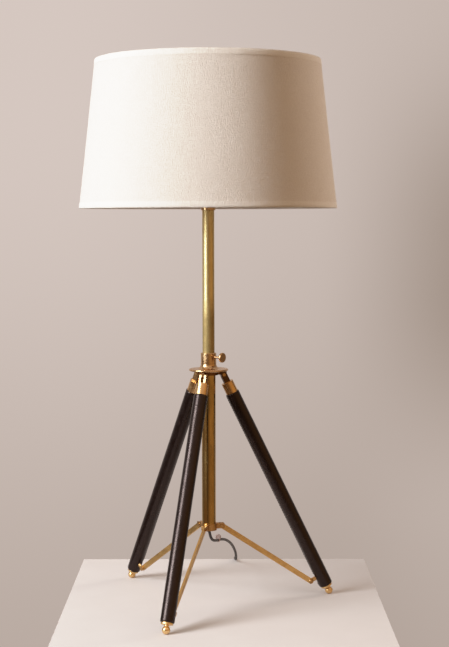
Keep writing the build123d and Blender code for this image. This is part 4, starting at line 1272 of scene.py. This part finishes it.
# ---------------------------------------------------------------- studio
@dataclass
class Studio:
    """The pale plinth, the backdrop close behind it, the lights and the camera."""

    plinth_left: float = -0.229
    plinth_right: float = 0.276
    plinth_front: float = -0.30
    plinth_back: float = 0.283
    behind: float = 0.62
    plinth_height: float = 0.9
    camera_place: tuple[float, float, float] = (0.0257, -2.2958, 0.6142)
    camera_dip: float = 4.164
    camera_roll: float = 0.1
    lens: float = 80.63
    white: float = 1.9
    knee: float = 0.74
    key_turn: float = 58.5
    key_rise: float = 22.5
    key_distance: float = 2.6
    key_width: float = 0.95
    key_height: float = 1.9
    key_power: float = 126.0

    def slab(self, name: str, corners: list[tuple[float, float, float]],
             finish: bpy.types.Material) -> bpy.types.Object:
        """A flat stage piece with those corners."""
        mesh = bpy.data.meshes.new(name)
        mesh.from_pydata(corners, [], [tuple(range(len(corners)))])
        mesh.materials.append(finish)
        piece = bpy.data.objects.new(name, mesh)
        bpy.context.scene.collection.objects.link(piece)
        return piece

    def plinth_finish(self) -> bpy.types.Material:
        """Matt off-white paint, with painted shade darkening it towards its back right corner."""
        bench, shader = new_material("plinth paint")
        place = own_place(bench)
        tone = bench.band(bench.noise(place, 9.0, 4.0, 0.6), 0.3, 0.7)
        part = bench.add("SeparateXYZ")
        bench.feed(part.inputs[0], place)
        # painted shade: darker towards the back and to the right, strongest at the back right
        # corner
        back = bench.band(part.outputs[1], -0.25, 0.28)
        corner = bench.math("MULTIPLY", back, bench.band(part.outputs[0], -0.05, 0.25))
        paint = bench.mix(tone, (0.58, 0.541, 0.522), (0.60, 0.561, 0.542))
        bench.feed(shader.inputs["Base Color"], bench.mix(corner, paint, (0.47, 0.438, 0.425)))
        shader.inputs["Roughness"].default_value = 0.7
        return bpy.data.materials["plinth paint"]

    def backdrop_finish(self) -> bpy.types.Material:
        """Warm grey that glows with painted light: brighter higher up and to the left, with a
        painted shadow on the right about mid height, and its glow fading far to either side. It can
        be seen through from behind.
        """
        material = bpy.data.materials.new("backdrop")
        material.use_nodes = True
        bench = Bench(material.node_tree)
        bench.tree.nodes.clear()
        part = bench.add("SeparateXYZ")
        bench.feed(part.inputs[0], own_place(bench))
        # painted light on the glowing backdrop: brighter higher up and to the left, a painted
        # shadow on the right, and fading far to the sides
        fall = bench.band(part.outputs[2], -0.35, 0.85, 0.3975, 0.5735)
        aside = bench.band(part.outputs[0], -0.3, 0.3, 1.0, 0.88)
        low = bench.band(part.outputs[2], 0.05, 0.5, -0.10, 0.40)
        high = bench.band(part.outputs[2], 0.58, 1.0, 1.0, 0.18)
        corner = bench.band(part.outputs[0], 0.17, 0.50)
        shadow = bench.math("MULTIPLY", corner, bench.math("MULTIPLY", low, high))
        level = bench.math("MULTIPLY", bench.math("MULTIPLY", fall, aside),
                           bench.math("SUBTRACT", 1.0, shadow))
        far = bench.band(bench.math("ABSOLUTE", part.outputs[0]), 0.44, 0.8, 1.0, 0.2)
        share = bench.math("MULTIPLY", bench.math("SUBTRACT", level, 0.28), 1 / 0.298)
        tone = bench.mix(share, (0.351, 0.280, 0.235), (0.672, 0.578, 0.533))
        glow = bench.add("Emission")
        bench.feed(glow.inputs["Color"], tone)
        bench.feed(glow.inputs["Strength"], far)
        clear = bench.add("BsdfTransparent")
        choice = bench.add("MixShader")
        bench.feed(choice.inputs[0], bench.add("NewGeometry").outputs["Backfacing"])
        bench.feed(choice.inputs[1], glow.outputs[0])
        bench.feed(choice.inputs[2], clear.outputs[0])
        bench.feed(bench.add("OutputMaterial").inputs[0], choice.outputs[0])
        return material

    def build_stage(self) -> None:
        """Make the plinth, and the backdrop close behind it."""
        left, right = self.plinth_left, self.plinth_right
        front, back = self.plinth_front, self.plinth_back
        paint, cloth = self.plinth_finish(), self.backdrop_finish()
        wide = 3.0
        deep = self.behind
        self.slab("plinth_top",
                  [(left, front, 0), (right, front, 0), (right, deep, 0), (left, deep, 0)], paint)
        corners = [(left, deep), (left, front), (right, front), (right, deep)]
        for number, start in enumerate(corners):
            end = corners[(number + 1) % len(corners)]
            self.slab(f"plinth_side_{number + 1}",
                      [(*start, -self.plinth_height), (*end, -self.plinth_height),
                                                    (*end, 0), (*start, 0)], paint)
        stand = back + 0.0005
        backdrop = self.slab("backdrop",
                             [(-wide, stand, -1.0), (wide, stand, -1.0), (wide, stand, 3.0),
                                          (-wide, stand, 3.0)], cloth)
        backdrop.visible_shadow = False

    def aim(self, lamp: bpy.types.Object, target: Vector) -> None:
        """Turn a light to face a point."""
        lamp.rotation_euler = (target - lamp.location).to_track_quat("-Z", "Y").to_euler()

    def area(self, name: str, turn: float, rise: float, distance: float, size: tuple[float, float],
             power: float, colour: Colour, target: Vector) -> bpy.types.Object:
        """Add an area light.

        Args:
            name: the light's name.
            turn: degrees to the left of the front.
            rise: degrees above the level.
            distance: how far it stands from its target.
            size: its width and height.
            power: its power in watts.
            colour: its colour.
            target: the point that it faces.

        Returns:
            The light.
        """
        data = bpy.data.lights.new(name, "AREA")
        data.shape = "RECTANGLE"
        data.size, data.size_y = size
        data.energy = power
        data.color = colour
        lamp = bpy.data.objects.new(name, data)
        turn, rise = math.radians(turn), math.radians(rise)
        lamp.location = target + distance * Vector(
            (-math.sin(turn) * math.cos(rise), -math.cos(turn) * math.cos(rise), math.sin(rise)))
        bpy.context.scene.collection.objects.link(lamp)
        self.aim(lamp, target)
        return lamp

    def build_lights(self) -> None:
        """A tall soft key from the left, a weak warm fill from the right, and a dim warm room."""
        middle = Vector((0, 0, 0.42))
        self.area("key", self.key_turn, self.key_rise, self.key_distance,
                  (self.key_width, self.key_height),
                  self.key_power, (0.86, 0.93, 0.985), middle)
        fill = self.area("side_fill", -122.0, 4.0, 2.4, (0.9, 1.6), 35.0, (1.0, 0.88, 0.78),
                         Vector((0, 0, 0.62)))
        fill.visible_glossy = False
        world = bpy.data.worlds.new("room")
        bpy.context.scene.world = world
        world.use_nodes = True
        bench = Bench(world.node_tree)
        part = bench.add("SeparateXYZ")
        bench.feed(part.inputs[0], bench.add("TexCoord").outputs["Generated"])
        right = bench.band(part.outputs[0], -0.3, 0.6)
        walls = bench.mix(right, (0.17, 0.098, 0.042), (0.60, 0.36, 0.15))
        walls = bench.mix(bench.band(part.outputs[2], -0.35, 0.0), (0.15, 0.09, 0.055), walls)
        room = bench.mix(bench.band(part.outputs[2], 0.3, 0.8), walls, (0.90, 0.72, 0.60))
        seen = bench.add("LightPath").outputs["Is Camera Ray"]
        glow = world.node_tree.nodes["Background"]
        bench.feed(glow.inputs["Color"], bench.mix(seen, room, (0.40, 0.345, 0.31)))
        glow.inputs["Strength"].default_value = 1.0

    def build_response(self) -> None:
        """Record light as a camera does: even up to the bright tones, then with a soft shoulder."""
        view = bpy.context.scene.view_settings
        view.view_transform = "Standard"
        view.use_curve_mapping = True
        view.curve_mapping.white_level = (self.white, self.white, self.white)
        curve = view.curve_mapping.curves[3]
        knee, room = self.knee, 1 - self.knee
        curve.points.new(knee / self.white, knee)
        for step in range(1, 9):
            light = knee + (self.white - knee) * (step / 9) ** 1.5
            curve.points.new(light / self.white, 1 - room * math.exp((knee - light) / room))
        curve.points[-1].location = (1.0, 1 - room * math.exp((knee - self.white) / room))
        curve.points[0].handle_type = curve.points[1].handle_type = "VECTOR"
        view.curve_mapping.update()

    def build_camera(self) -> None:
        """Set the camera up in front, a little above the middle and looking slightly down."""
        data = bpy.data.cameras.new("camera")
        data.lens = self.lens
        data.sensor_width = 36.0
        data.clip_start = 0.05
        data.clip_end = 50.0
        camera = bpy.data.objects.new("camera", data)
        camera.location = self.camera_place
        camera.rotation_euler = (math.radians(90.0 - self.camera_dip),
                                 math.radians(self.camera_roll), 0.0)
        bpy.context.scene.collection.objects.link(camera)
        bpy.context.scene.camera = camera

    def build(self) -> None:
        """Make the camera, the stage and the lights."""
        self.build_camera()
        self.build_stage()
        self.build_lights()
        self.build_response()


def main() -> None:
    """Build the scene."""
    logging.basicConfig(level=logging.INFO, format="%(name)s: %(message)s")
    Studio().build()
    Hardware().dress()
    MainsLead().build()
    DrumShade().build()
    BulbAndHolder().build()
    leather = LeatherFinish().material()
    thread = LeatherFinish("waxed thread", (0.030, 0.018, 0.013), (0.075, 0.045, 0.032), 0.5,
                           2600.0).material()
    for number, (azimuth, seam_turn) in enumerate(((-108.0, 24.0), (12.0, -18.0), (132.0, 45.0)),
                                                  start=1):
        LeatherLeg(number, azimuth, seam_turn).build(leather, thread)


if __name__ == "__main__":
    main()
